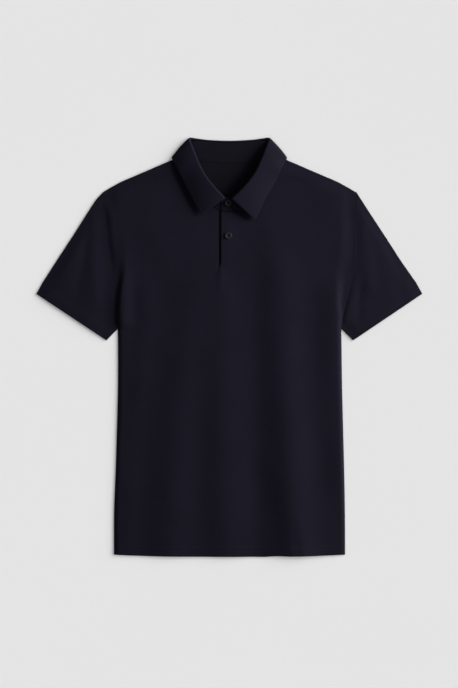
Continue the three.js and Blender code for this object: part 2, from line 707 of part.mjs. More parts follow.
// The back neckline lies below the stand's seam line, so its gap is taken downwards
function backPanel() {
  const shoulder = SHOULDER_STATION * COLLAR_SPLITS;
  const end = stations.length - 1;
  const beyond = NECK_POINT.y + CUTTER_BEYOND;
  const gap = SEAM_GAP * 2;
  const line = stations.slice(shoulder, end - shoulder + 1)
    .map((station) => ({ x: station.seam.x, y: station.seam.y - gap }));
  const first = line[0];
  const last = line[line.length - 1];
  const neck = prism([
    { x: first.x - CUTTER_CORNER, y: beyond },
    { x: first.x - CUTTER_CORNER, y: first.y - CUTTER_CORNER / 2 },
    ...line,
    { x: last.x + CUTTER_CORNER, y: last.y - CUTTER_CORNER / 2 },
    { x: last.x + CUTTER_CORNER, y: beyond },
  ]);
  const outside = (x, y) => backRise(x, y) + WALL;
  return toGeometry(toSolid(bodyPanel(BACK_COLUMNS, backRise, outside)).subtract(neck));
}

// A placket band lies on the front panel's own points, moved up or down from its outside
function placketBand(left, right, topRise) {
  const outer = [];
  const inner = [];
  for (let i = 0; i <= PLACKET_STEPS; i += 1) {
    const y = mix(PLACKET.bottom + SEAM_GAP, PLACKET.top, i / PLACKET_STEPS);
    outer.push([]);
    inner.push([]);
    for (const x of [left, mix(left, right, 0.5), right]) {
      const z = frontOutside(x, y) + topRise;
      outer[i].push(new THREE.Vector3(x, y, z));
      inner[i].push(new THREE.Vector3(x, y, z - BAND_WALL));
    }
  }
  return closedSheet(outer, inner);
}

function button() {
  const { radius, thickness, rim, dish, holeRadius, holeOffset } = BUTTON;
  const profile = [
    [0, 0], [radius - 1, 0], [radius - 0.2, 0.3], [radius, 0.75], [radius - 0.24, thickness - 0.3],
    [radius - 1, thickness], [radius - rim, thickness - 0.2], [radius - rim - 1, thickness - dish],
    [0, thickness - dish],
  ];
  const points = profile.map(([r, z]) => new THREE.Vector2(r, z));
  const disc = new THREE.LatheGeometry(points, BUTTON_SIDES);
  disc.rotateX(Math.PI / 2);
  let solid = toSolid(facingOut(disc));
  for (const sx of [-1, 1]) {
    for (const sy of [-1, 1]) {
      const hole = new THREE.CylinderGeometry(holeRadius, holeRadius, thickness * 3, HOLE_SIDES);
      hole.rotateX(Math.PI / 2);
      hole.translate(sx * holeOffset, sy * holeOffset, 0);
      solid = solid.subtract(toSolid(hole));
    }
  }
  return toGeometry(solid);
}

const cloth = (roughness) => new THREE.MeshStandardMaterial({ color: CLOTH_COLOUR, roughness, metalness: 0 });

function named(name, geometry, material) {
  const mesh = new THREE.Mesh(geometry, material);
  mesh.name = name;
  return mesh;
}

const shirt = new THREE.Group();
shirt.add(named('back_panel', backPanel(), cloth(0.9)));
shirt.add(named('front_panel', frontPanel(), cloth(0.9)));
shirt.add(named('sleeve_left', sleeveBody(SLEEVES.left), cloth(0.9)));
shirt.add(named('sleeve_right', sleeveBody(SLEEVES.right), cloth(0.9)));
shirt.add(named('collar_stand', collarStand(), cloth(0.85)));
shirt.add(named('collar_leaf', collarLeaf(), cloth(0.85)));

const upperTop = PLACKET_RISE;
const underTop = PLACKET_RISE - BAND_WALL - SEAM_GAP - UNDER_DROP;
const bandRight = PLACKET.right - SEAM_GAP;
shirt.add(named('placket_under', placketBand(PLACKET.left + SEAM_GAP, bandRight, underTop), cloth(0.88)));
shirt.add(named('placket_upper', placketBand(PLACKET_FREE_EDGE_X, bandRight, upperTop), cloth(0.88)));

const buttonMaterial = new THREE.MeshStandardMaterial({ color: BUTTON_COLOUR, roughness: 0.35, metalness: 0 });

const placketButton = named('button_placket', button(), buttonMaterial);
const placketZ = frontOutside(PLACKET_BUTTON.x, PLACKET_BUTTON.y) + PLACKET_RISE;
placketButton.position.set(PLACKET_BUTTON.x, PLACKET_BUTTON.y, placketZ + SEAM_GAP);
shirt.add(placketButton);

// The neck button lies on the sloping front of the stand
const overEnd = standEnd(OVER_END[0]);
const slopeFrom = overEnd[2];
const slopeTo = overEnd[STAND_STEPS];
const slope = Math.atan2(slopeTo.z - slopeFrom.z, slopeTo.y - slopeFrom.y);
const neckShare = (NECK_BUTTON.y - slopeFrom.y) / (slopeTo.y - slopeFrom.y);
const neckZ = mix(slopeFrom.z, slopeTo.z, neckShare);
const neckButton = named('button_neck', button(), buttonMaterial);
const standOff = BAND_WALL / 2 + 2 * SEAM_GAP;
neckButton.rotation.x = slope;
neckButton.position.set(
  NECK_BUTTON.x, NECK_BUTTON.y - standOff * Math.sin(slope), neckZ + standOff * Math.cos(slope));
shirt.add(neckButton);

export default shirt;
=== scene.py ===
"""Looks of a short-sleeved knit shirt laid flat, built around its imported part.

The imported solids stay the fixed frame. Every cloth piece is made again here as a fine thin shell on
the form of the solid it stands for, then sewn, buttoned and given its finish. Shapes are worked out
in millimetres and turned into metres when a mesh is made.
"""

import logging
import math
from dataclasses import dataclass, field
from enum import Enum
from typing import Callable, NamedTuple

import bpy
import numpy as np
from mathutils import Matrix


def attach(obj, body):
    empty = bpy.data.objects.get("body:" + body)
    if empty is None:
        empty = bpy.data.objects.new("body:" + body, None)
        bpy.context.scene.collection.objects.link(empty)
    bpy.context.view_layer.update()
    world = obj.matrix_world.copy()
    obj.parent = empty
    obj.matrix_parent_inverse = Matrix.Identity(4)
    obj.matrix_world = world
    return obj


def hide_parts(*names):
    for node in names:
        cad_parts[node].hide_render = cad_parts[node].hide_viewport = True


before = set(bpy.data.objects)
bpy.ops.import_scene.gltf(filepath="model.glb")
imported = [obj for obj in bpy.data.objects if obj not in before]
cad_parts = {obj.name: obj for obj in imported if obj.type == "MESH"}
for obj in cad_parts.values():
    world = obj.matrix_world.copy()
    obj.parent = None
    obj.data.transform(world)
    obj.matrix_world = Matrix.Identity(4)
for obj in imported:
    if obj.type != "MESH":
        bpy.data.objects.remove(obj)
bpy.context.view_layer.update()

LOG = logging.getLogger("shirt")
MM = 0.001
BODY = "root"

Grid = np.ndarray


class Side(Enum):
    """Which half of the shirt a piece is on, as the picture shows it: -1 is towards -X."""

    LEFT = -1
    RIGHT = 1


class EdgeRow(NamedTuple):
    """Edges of the body at one height: side seam up to the armpit, armhole seam above it."""

    y: float
    left: float
    right: float


class LinePoint(NamedTuple):
    """A point of an outline, in millimetres."""

    x: float
    y: float


class Fold(NamedTuple):
    """A long soft fold: three points on its line, height at its top and foot, half width, fades."""

    x1: float
    y1: float
    x2: float
    y2: float
    x3: float
    y3: float
    top: float
    foot: float
    width: float
    start: float
    end: float = 0.0


class SeamFade(NamedTuple):
    """Where the front starts to lift off the back, and where it is free, in from each edge."""

    y: float
    left_low: float
    left_free: float
    right_low: float
    right_free: float


class CollarRow(NamedTuple):
    """A collar station: roll line with its height, leaf edge, stand seam and turn in degrees."""

    fold_x: float
    fold_y: float
    fold_z: float
    edge_x: float
    edge_y: float
    seam_x: float
    seam_y: float
    turn: float


class StandEnd(NamedTuple):
    """A section of the stand past the leaf: seam point with its lift, and top point."""

    seam_x: float
    seam_y: float
    seam_lift: float
    top_x: float
    top_y: float
    top_z: float


class ProfilePoint(NamedTuple):
    """A point of the button's outline: how far in from its side, and how high."""

    inset: float
    height: float


class HemWave(NamedTuple):
    """A shallow wave of the hem's edge: its middle, height and half width."""

    x: float
    height: float
    width: float


BODY_EDGE = (
    EdgeRow(-373, -207.5, 208.3),
    EdgeRow(-300, -207.3, 208.0),
    EdgeRow(-210, -204.0, 206.4),
    EdgeRow(-145, -202.1, 204.7),
    EdgeRow(-70, -200.3, 202.9),
    EdgeRow(33, -200.5, 201.5),
    EdgeRow(52, -202.5, 204.5),
    EdgeRow(75, -202.3, 209.5),
    EdgeRow(100, -201.2, 216.5),
    EdgeRow(125, -200.2, 222.0),
    EdgeRow(148, -200.8, 226.3),
    EdgeRow(170, -203.5, 229.5),
    EdgeRow(192, -207.0, 230.0),
    EdgeRow(212, -209.0, 229.0),
    EdgeRow(232, -211.0, 227.5),
    EdgeRow(250, -215.0, 226.0),
    EdgeRow(265, -220.5, 226.5),
    EdgeRow(279.5, -226.5, 228.0),
)
ARMPIT_Y = 33.0
SHOULDER_TIP_Y = 279.5

SHOULDER = (
    LinePoint(0, 345.4),
    LinePoint(82, 345.4),
    LinePoint(100, 338.0),
    LinePoint(119, 330.0),
    LinePoint(143, 319.5),
    LinePoint(170, 308.0),
    LinePoint(195, 297.5),
    LinePoint(215, 286.5),
    LinePoint(228, 278.5),
)
NECK_POINT = LinePoint(82, 345.4)
NECK_CENTRE = LinePoint(0, 305)
SLEEVE_HEM_DEPTHS = (
    0.8, 1.6, 2.4, 3.4, 6, 9, 12, 15, 17.2, 17.9, 18.6, 19.3, 20.0, 20.7, 21.4, 22.1, 22.8, 23.3, 23.8,
    24.3, 24.7, 24.9, 25.0,
)
HEM_WAVES = (HemWave(88.0, 0.9, 16.0), HemWave(60.0, -0.5, 14.0))
PLACKET_BUTTON = LinePoint(-1.9, 200.6)
NECK_BUTTON = LinePoint(-1.9, 259.6)
SLOPE_SHARES = (0.4, 1.0)
BUTTON_PROFILE = (
    ProfilePoint(1.0, 0.0),
    ProfilePoint(0.55, 0.1),
    ProfilePoint(0.2, 0.3),
    ProfilePoint(0.03, 0.55),
    ProfilePoint(0.0, 0.75),
    ProfilePoint(0.06, 0.95),
    ProfilePoint(0.24, 1.2),
    ProfilePoint(0.55, 1.4),
    ProfilePoint(1.0, 1.48),
    ProfilePoint(1.6, 1.5),
    ProfilePoint(2.3, 1.45),
    ProfilePoint(3.0, 1.3),
    ProfilePoint(3.35, 1.08),
    ProfilePoint(3.75, 0.78),
    ProfilePoint(4.1, 0.75),
)
# Darker colours for faces inside the neck: the knit's duller reverse, darkened further with painted shade
# where the collar shades the neck's hollow.
BODY_INSIDE_PAINTED_SHADE = (0.0037, 0.0030, 0.0069)
STAND_INSIDE_PAINTED_SHADE = (0.0049, 0.0040, 0.0091)

BODY_FOLDS = (
    Fold(-53, 150, -80, -23, -108, -372, 1.3, 3.0, 36, 120),
    Fold(-15, 125, -14, -60, -4, -372, 1.5, 2.9, 33, 110),
    Fold(88, 180, 98, -20, 122, -372, 2.3, 5.8, 35, 120),
    Fold(52, 190, 49, 0, 50, -372, -0.4, -0.9, 20, 110),
    Fold(-150, 110, -157, -23, -172, -140, 0.7, 0.4, 15, 80, 90),
    Fold(188, 120, 195, -80, 207, -300, 2.6, 2.1, 28, 60, 100),
    Fold(208, 235, 197, 130, 190, 45, 0.4, 0.25, 9, 40, 30),
    Fold(-15, 140, -15.5, 120, -16.5, 98, 0.6, 0.3, 6, 10, 20),
    Fold(-8, 140, -8, 118, -9, 92, 0.4, 0.3, 14, 12, 24),
    Fold(-194, 175, -191, 100, -191, 38, 1.2, 3.0, 15, 110, 24),
    Fold(-172, -150, -176, -250, -182, -372, 0.2, 0.4, 15, 90),
)

SLEEVE_FOLDS = (
    Fold(-238, 245, -238, 160, -236, 75, 0.8, 1.0, 12, 40, 35),
    Fold(-252, 216, -262, 158, -274, 98, -0.7, -0.6, 10, 40, 30),
    Fold(-280, 190, -291, 140, -302, 95, 0.6, 0.4, 16, 40, 30),
    Fold(240, 235, 246, 160, 252, 100, 1.0, 1.2, 13, 50, 35),
    Fold(296, 180, 305, 135, 312, 95, -0.6, -0.4, 14, 40, 30),
    Fold(236, 120, 234, 90, 233, 50, -0.5, -0.6, 8, 30, 25),
)

SEAM_FADES = (
    SeamFade(-376, 0, 7, 0, 4.5),
    SeamFade(20, 0, 7, 0, 4.5),
    SeamFade(45, 0, 4.5, 0, 7.5),
    SeamFade(58, 0, 4.7, 1.5, 9),
    SeamFade(85, 0, 5, 9, 19),
    SeamFade(112, 0, 9, 11, 27),
    SeamFade(139, 0, 15, 8, 38),
    SeamFade(193, 0, 24, 5, 32),
    SeamFade(280, 2, 26, 3, 26),
)

COLLAR_HALF = (
    CollarRow(7.2, 268.6, 14.0, 49.5, 237.4, 14.4, 244.6, 0),
    CollarRow(18.9, 280.6, 15.6, 58.5, 251.8, 33.3, 254.5, 0),
    CollarRow(33.3, 296.8, 16.4, 69.3, 271.6, 52.2, 270.7, 0),
    CollarRow(46.8, 316.6, 16.0, 81.0, 295.0, 68.4, 291.4, 4),
    CollarRow(57.6, 340.0, 14.0, 91.8, 317.5, 79.2, 313.9, 12),
    CollarRow(65.2, 359.5, 11.5, 99.0, 331.4, 83.4, 329.5, 28),
    CollarRow(69.2, 369.4, 9.4, 102.6, 337.3, 84.0, 338.0, 48),
    CollarRow(70.6, 375.0, 7.6, 103.0, 341.2, 82.2, 342.6, 72),
    CollarRow(67.6, 376.4, 6.0, 98.6, 342.0, 77.8, 342.2, 104),
    CollarRow(60.0, 375.6, 4.4, 90.0, 338.4, 69.6, 340.2, 145),
    CollarRow(43.0, 373.4, 3.3, 64.0, 331.0, 47.0, 334.6, 172),
    CollarRow(21.0, 372.0, 3.0, 31.0, 327.6, 23.0, 331.9, 180),
    CollarRow(0, 371.4, 3.0, 0, 326.5, 0, 331.0, 180),
)
COLLAR_RIGHT_FRONT = (
    CollarRow(3.6, 267.5, 16.1, 45.9, 228.4, 14.4, 244.6, 0),
    CollarRow(18.9, 281.5, 16.8, 55.8, 247.3, 33.3, 254.5, 0),
    CollarRow(33.3, 297.7, 16.9, 67.5, 271.6, 52.2, 270.7, 0),
)
UNDER_END = (
    StandEnd(10.0, 243.9, -0.65, 9.5, 266.8, 8.8),
    StandEnd(-3.0, 243.8, -0.65, -1.0, 267.6, 9.2),
)
OVER_END = (
    StandEnd(2.0, 243.8, 0.95, -1.2, 269.6, 12.0),
    StandEnd(-14.6, 244.2, 0.95, -13.8, 266.0, 11.8),
)


def smooth(low: float, high: float, value: Grid) -> Grid:
    """Smooth step from 0 at low to 1 at high.

    Args:
        low: Value where the step begins.
        high: Value where it ends.
        value: Values to read it at.

    Returns:
        The step at each value.
    """
    t = np.clip((value - low) / (high - low), 0.0, 1.0)
    return t * t * (3.0 - 2.0 * t)


def mix(a: Grid, b: Grid, t: Grid) -> Grid:
    """Straight blend from a at t = 0 to b at t = 1."""
    return a + (b - a) * t


def spline(keys: Grid, values: Grid, at: Grid) -> Grid:
    """Smooth curve through table rows, held level past both ends.

    Args:
        keys: Rising key column.
        values: Value column.
        at: Keys to read it at.

    Returns:
        The curve's values.
    """
    at = np.clip(at, keys[0], keys[-1])
    slopes = np.gradient(values, keys)
    cell = np.clip(np.searchsorted(keys, at, side="right") - 1, 0, len(keys) - 2)
    width = keys[cell + 1] - keys[cell]
    t = (at - keys[cell]) / width
    start = (1 + 2 * t) * (1 - t) ** 2 * values[cell] + t * (1 - t) ** 2 * width * slopes[cell]
    finish = t * t * (3 - 2 * t) * values[cell + 1] + t * t * (t - 1) * width * slopes[cell + 1]
    return start + finish


@dataclass(frozen=True)
class Undulation:
    """Faint uneven waves of cloth at rest: a fixed sum of long ripples in seeded directions."""

    seed: int = 7
    ripples: int = 14
    shortest: float = 60.0
    longest: float = 200.0
    height: float = 0.10
    spread: float = 0.35

    def __call__(self, x: Grid, y: Grid) -> Grid:
        """Height of the waves at points of the sheet."""
        rng = np.random.default_rng(self.seed)
        total = np.zeros_like(x, dtype=float)
        for _ in range(self.ripples):
            length = rng.uniform(self.shortest, self.longest)
            angle = rng.normal(0.0, self.spread)
            phase = rng.uniform(0.0, 2 * math.pi)
            total += np.sin((x * math.cos(angle) + y * math.sin(angle)) * 2 * math.pi / length + phase)
        return self.height * total / math.sqrt(self.ripples / 2)


@dataclass(frozen=True)
class ShirtForm:
    """Form that all the pieces share: outlines, walls, the rise over the collar, and the folds."""

    wall: float = 1.6
    band_wall: float = 1.2
    seam_gap: float = 0.3
    air: float = 1.8
    least_lift: float = 0.05
    most_lift: float = 9.0
    hem_middle: float = -376.7
    hem_corner_rise: float = 3.7
    hem_depth: float = 19.0
    hem_step: float = 0.4
    hem_run: float = 2.5
    shoulder_fade: float = 24.0
    lift_rows: tuple[float, float, float, float] = (105.0, 165.0, 235.0, 275.0)
    left_rise: float = 1.8
    right_rise: float = 0.55
    right_run: float = 9.0
    rise: float = 2.0
    rise_start: float = 292.0
    rise_full: float = 318.0
    fold_scale: float = 1.35
    waves: Undulation = field(default_factory=Undulation)

    def edge(self, y: Grid, side: Side) -> Grid:
        """X of the body's edge at a height, on one side."""
        column = 1 if side is Side.LEFT else 2
        rows = np.array(BODY_EDGE)
        seam = rows[:, 0] <= ARMPIT_Y
        hole = rows[:, 0] >= ARMPIT_Y
        below = spline(rows[seam, 0], rows[seam, column], y)
        above = spline(rows[hole, 0], rows[hole, column], y)
        return np.where(y < ARMPIT_Y, below, above)

    def hem(self, x: Grid) -> Grid:
        """Y of the hem's edge: lowest in the middle, with shallow waves on the right."""
        rise = self.hem_corner_rise * np.abs(x / BODY_EDGE[0].right) ** 3
        waves = sum(wave.height * np.exp(-(((x - wave.x) / wave.width) ** 2)) for wave in HEM_WAVES)
        return self.hem_middle + rise + waves

    def shoulder(self, x: Grid) -> Grid:
        """Y of the shoulder line, or of the neck point's level between the neck points."""
        rows = np.array(SHOULDER)
        return np.interp(np.abs(x), rows[:, 0], rows[:, 1])

    def folds(self, table: tuple[Fold, ...], x: Grid, y: Grid) -> Grid:
        """Summed height of a table of folds.

        Args:
            table: The folds.
            x: X of the points.
            y: Y of the points.

        Returns:
            Height above or below the mean, in millimetres.
        """
        total = np.zeros_like(x, dtype=float)
        for fold in table:
            at = np.clip(y, fold.y3, fold.y1)
            a = (at - fold.y2) * (at - fold.y3) / ((fold.y1 - fold.y2) * (fold.y1 - fold.y3))
            b = (at - fold.y1) * (at - fold.y3) / ((fold.y2 - fold.y1) * (fold.y2 - fold.y3))
            c = (at - fold.y1) * (at - fold.y2) / ((fold.y3 - fold.y1) * (fold.y3 - fold.y2))
            centre = a * fold.x1 + b * fold.x2 + c * fold.x3
            begins = 1 - smooth(fold.y1 - fold.start / 2, fold.y1 + fold.start / 2, y)
            ends = smooth(fold.y3 - fold.end / 2, fold.y3 + fold.end / 2, y) if fold.end else 1.0
            height = mix(fold.top, fold.foot, (fold.y1 - at) / (fold.y1 - fold.y3))
            total += height * begins * ends * np.exp(-(((x - centre) / fold.width) ** 2))
        return self.fold_scale * total

    def back_rise(self, y: Grid) -> Grid:
        """Underside of the back panel, which rises over the collar leaf behind the neck."""
        return self.rise * smooth(self.rise_start, self.rise_full, y)

    def armhole_lift(self, y: Grid, side: Side) -> Grid:
        """Height at which an armhole's seam lies: the left one rides up, the right one less."""
        begins, full, falls, ends = self.lift_rows
        share = smooth(begins, full, y) * (1 - smooth(falls, ends, y))
        return share * (self.left_rise if side is Side.LEFT else self.right_rise)

    def front_lift(self, x: Grid, y: Grid) -> Grid:
        """Gap between the front panel's inside and the back panel, past the seam gap."""
        rows = np.array(SEAM_FADES)
        left_low, left_free, right_low, right_free = (
            np.interp(y, rows[:, 0], rows[:, column]) for column in range(1, 5))
        from_left = x - self.edge(y, Side.LEFT)
        from_right = self.edge(y, Side.RIGHT) - x
        at_left = smooth(0.0, 1.0, (from_left - left_low) / (left_free - left_low))
        at_right = smooth(0.0, 1.0, (from_right - right_low) / (right_free - right_low))
        beside_neck = np.maximum(NECK_POINT.x - np.abs(x), 0.0)
        from_shoulder = np.hypot(beside_neck, self.shoulder(x) - y)
        fade = at_left * at_right * smooth(0.0, self.shoulder_fade, from_shoulder)
        lift = fade * (self.air + self.folds(BODY_FOLDS, x, y) + self.waves(x, y))
        lift = lift + (1 - at_left) * self.armhole_lift(y, Side.LEFT)
        lift = lift + (1 - smooth(0.0, self.right_run, from_right)) * self.armhole_lift(y, Side.RIGHT)
        return np.clip(lift, self.least_lift, self.most_lift)

    def front_inside(self, x: Grid, y: Grid) -> Grid:
        """Inside surface of the front panel."""
        return self.back_rise(y) + self.wall + self.seam_gap + self.front_lift(x, y)

    def front_outside(self, x: Grid, y: Grid) -> Grid:
        """Outside surface of the front panel, thicker over the turned hem."""
        band = 1 - smooth(self.hem_depth - self.hem_run, self.hem_depth, y - self.hem(x))
        return self.front_inside(x, y) + self.wall + self.hem_step * band


FORM = ShirtForm()
SHARP_EDGE = 50.0
EDGE_SHARES = (0.12, 0.35, 0.7, 1.0)
EDGE_CLEAR = 1.4
TINY = 1e-9


def make_mesh(name: str, points: Grid, faces: list, sharp: float = SHARP_EDGE) -> bpy.types.Object:
    """Makes a smooth-shaded object from points in millimetres.

    Args:
        name: Object name.
        points: Rows of x, y, z.
        faces: Vertex indices of each face.
        sharp: Edges that bend more than this many degrees stay sharp.

    Returns:
        The linked object.
    """
    mesh = bpy.data.meshes.new(name)
    mesh.from_pydata((np.asarray(points) * MM).tolist(), [], faces)
    mesh.validate()
    mesh.shade_smooth()
    mesh.set_sharp_from_angle(angle=math.radians(sharp))
    piece = bpy.data.objects.new(name, mesh)
    bpy.context.scene.collection.objects.link(piece)
    return piece


def grid_faces(rows: int, columns: int, ringed: bool, offset: int, turned: bool) -> list:
    """Quads of a grid of points numbered row by row from offset.

    Args:
        rows: Number of rows.
        columns: Number of columns.
        ringed: Whether each row closes on itself.
        offset: Index of the first point.
        turned: Whether the faces look the other way.

    Returns:
        The faces.
    """
    spans = columns if ringed else columns - 1
    i, j = np.meshgrid(np.arange(rows - 1), np.arange(spans), indexing="ij")
    k = (j + 1) % columns
    quads = np.stack([i * columns + j, i * columns + k, (i + 1) * columns + k, (i + 1) * columns + j], -1)
    quads = quads.reshape(-1, 4) + offset
    return (quads[:, ::-1] if turned else quads).tolist()


def closed_shell(name: str, outer: Grid, inner: Grid, ringed: bool = False) -> bpy.types.Object:
    """Closed thin body between two matching grids of points.

    Args:
        name: Object name.
        outer: Points of the outside, rows by columns by 3.
        inner: Points of the inside.
        ringed: Whether each row is a closed ring.

    Returns:
        The object, with its faces looking out.
    """
    rows, columns = outer.shape[:2]
    count = rows * columns
    faces = grid_faces(rows, columns, ringed, 0, False) + grid_faces(rows, columns, ringed, count, True)
    spans = columns if ringed else columns - 1
    for j in range(spans):
        k = (j + 1) % columns
        last = (rows - 1) * columns
        faces.append([count + j, count + k, k, j])
        faces.append([last + j, last + k, count + last + k, count + last + j])
    if not ringed:
        for i in range(rows - 1):
            a = i * columns
            b = a + columns
            faces.append([count + a, a, b, count + b])
            right_a = a + columns - 1
            right_b = b + columns - 1
            faces.append([right_a, count + right_a, count + right_b, right_b])
    points = np.concatenate([outer.reshape(-1, 3), inner.reshape(-1, 3)])
    if signed_volume(points, faces) < 0:
        faces = [face[::-1] for face in faces]
    return make_mesh(name, points, faces)


def signed_volume(points: Grid, faces: list) -> float:
    """Enclosed volume, negative where the faces look in."""
    quads = np.array([face for face in faces if len(face) == 4])
    a, b, c, d = (points[quads[:, k]] for k in range(4))
    first = np.einsum("ij,ij->i", a, np.cross(b, c))
    second = np.einsum("ij,ij->i", a, np.cross(c, d))
    return float((first + second).sum() / 6)


def grid_normals(grid: Grid) -> Grid:
    """Unit normals of a grid of surface points."""
    along = np.gradient(grid, axis=0)
    across = np.gradient(grid, axis=1)
    normals = np.cross(along, across)
    return normals / np.linalg.norm(normals, axis=2, keepdims=True)


def soft_edge(distance: Grid, radius: float, least: float = 0.25) -> Grid:
    """Share of the wall's thickness that is left near a rounded edge.

    Args:
        distance: Distance from the edge.
        radius: Distance over which the edge rounds off.
        least: Share left at the edge itself.

    Returns:
        A share from least to 1.
    """
    t = np.clip(distance / radius, 0.0, 1.0)
    return least + (1 - least) * np.sqrt(1 - (1 - t) ** 2)


def cloth_wall(grid: Grid, thickness: float, radius: float = 0.9) -> tuple[Grid, Grid]:
    """Outside and inside of an even wall about a grid of middle points, with rounded edges.

    Args:
        grid: Middle surface, rows by columns by 3.
        thickness: Wall thickness.
        radius: Distance over which each edge rounds off.

    Returns:
        The two grids, kept off the surface that the shirt lies on.
    """
    along = np.zeros(grid.shape[:2])
    along[1:] = np.cumsum(np.linalg.norm(np.diff(grid, axis=0), axis=2), axis=0)
    across = np.zeros(grid.shape[:2])
    across[:, 1:] = np.cumsum(np.linalg.norm(np.diff(grid, axis=1), axis=2), axis=1)
    from_edge = np.minimum.reduce([along, along[-1:] - along, across, across[:, -1:] - across])
    half = grid_normals(grid) * (thickness / 2 * soft_edge(from_edge, radius))[..., None]
    outer = grid + half
    inner = grid - half
    outer[..., 2] = np.maximum(outer[..., 2], 0.0)
    inner[..., 2] = np.maximum(inner[..., 2], 0.0)
    return outer, inner


def edged_steps(count: int, edge: float) -> Grid:
    """Steps from 0 to 1 with extra ones close to both ends.

    Args:
        count: Number of even spans.
        edge: Share of the whole that the rounded edge takes.

    Returns:
        Rising values.
    """
    extra = edge * np.array(EDGE_SHARES)
    clear = edge * EDGE_CLEAR
    even = np.linspace(0.0, 1.0, count + 1)
    even = even[(even > clear) & (even < 1 - clear)]
    return np.concatenate([[0.0], extra, even, 1 - extra[::-1], [1.0]])


def prism(name: str, outline: list[LinePoint], low: float = -5.0, high: float = 35.0) -> bpy.types.Object:
    """Upright prism over an outline, used to cut a panel.

    Args:
        name: Object name.
        outline: Corners in order.
        low: Height of its foot.
        high: Height of its top.

    Returns:
        The object.
    """
    count = len(outline)
    points = [(p.x, p.y, low) for p in outline] + [(p.x, p.y, high) for p in outline]
    area = sum(a.x * b.y - b.x * a.y for a, b in zip(outline, outline[1:] + outline[:1]))
    faces = [list(range(count))[::-1], list(range(count, 2 * count))]
    for i in range(count):
        j = (i + 1) % count
        faces.append([i, j, count + j, count + i])
    if area < 0:
        faces = [face[::-1] for face in faces]
    return make_mesh(name, np.array(points), faces)


def cut(piece: bpy.types.Object, cutters: list[bpy.types.Object]) -> None:
    """Cuts prisms out of a piece and removes the prisms.

    Args:
        piece: Object to cut.
        cutters: Objects that are cut out of it.
    """
    for cutter in cutters:
        modifier = piece.modifiers.new("cut", "BOOLEAN")
        modifier.operation = "DIFFERENCE"
        modifier.solver = "EXACT"
        modifier.object = cutter
    graph = bpy.context.evaluated_depsgraph_get()
    mesh = bpy.data.meshes.new_from_object(piece.evaluated_get(graph))
    old = piece.data
    piece.modifiers.clear()
    piece.data = mesh
    mesh.name = piece.name
    bpy.data.meshes.remove(old)
    for cutter in cutters:
        bpy.data.objects.remove(cutter)
    mesh.shade_smooth()
    mesh.set_sharp_from_angle(angle=math.radians(SHARP_EDGE))


@dataclass(frozen=True)
class Station:
    """One section of the collar, with its directions."""

    centre: Grid
    edge: Grid
    seam: Grid
    down: Grid
    to_stand: Grid
    turn: float


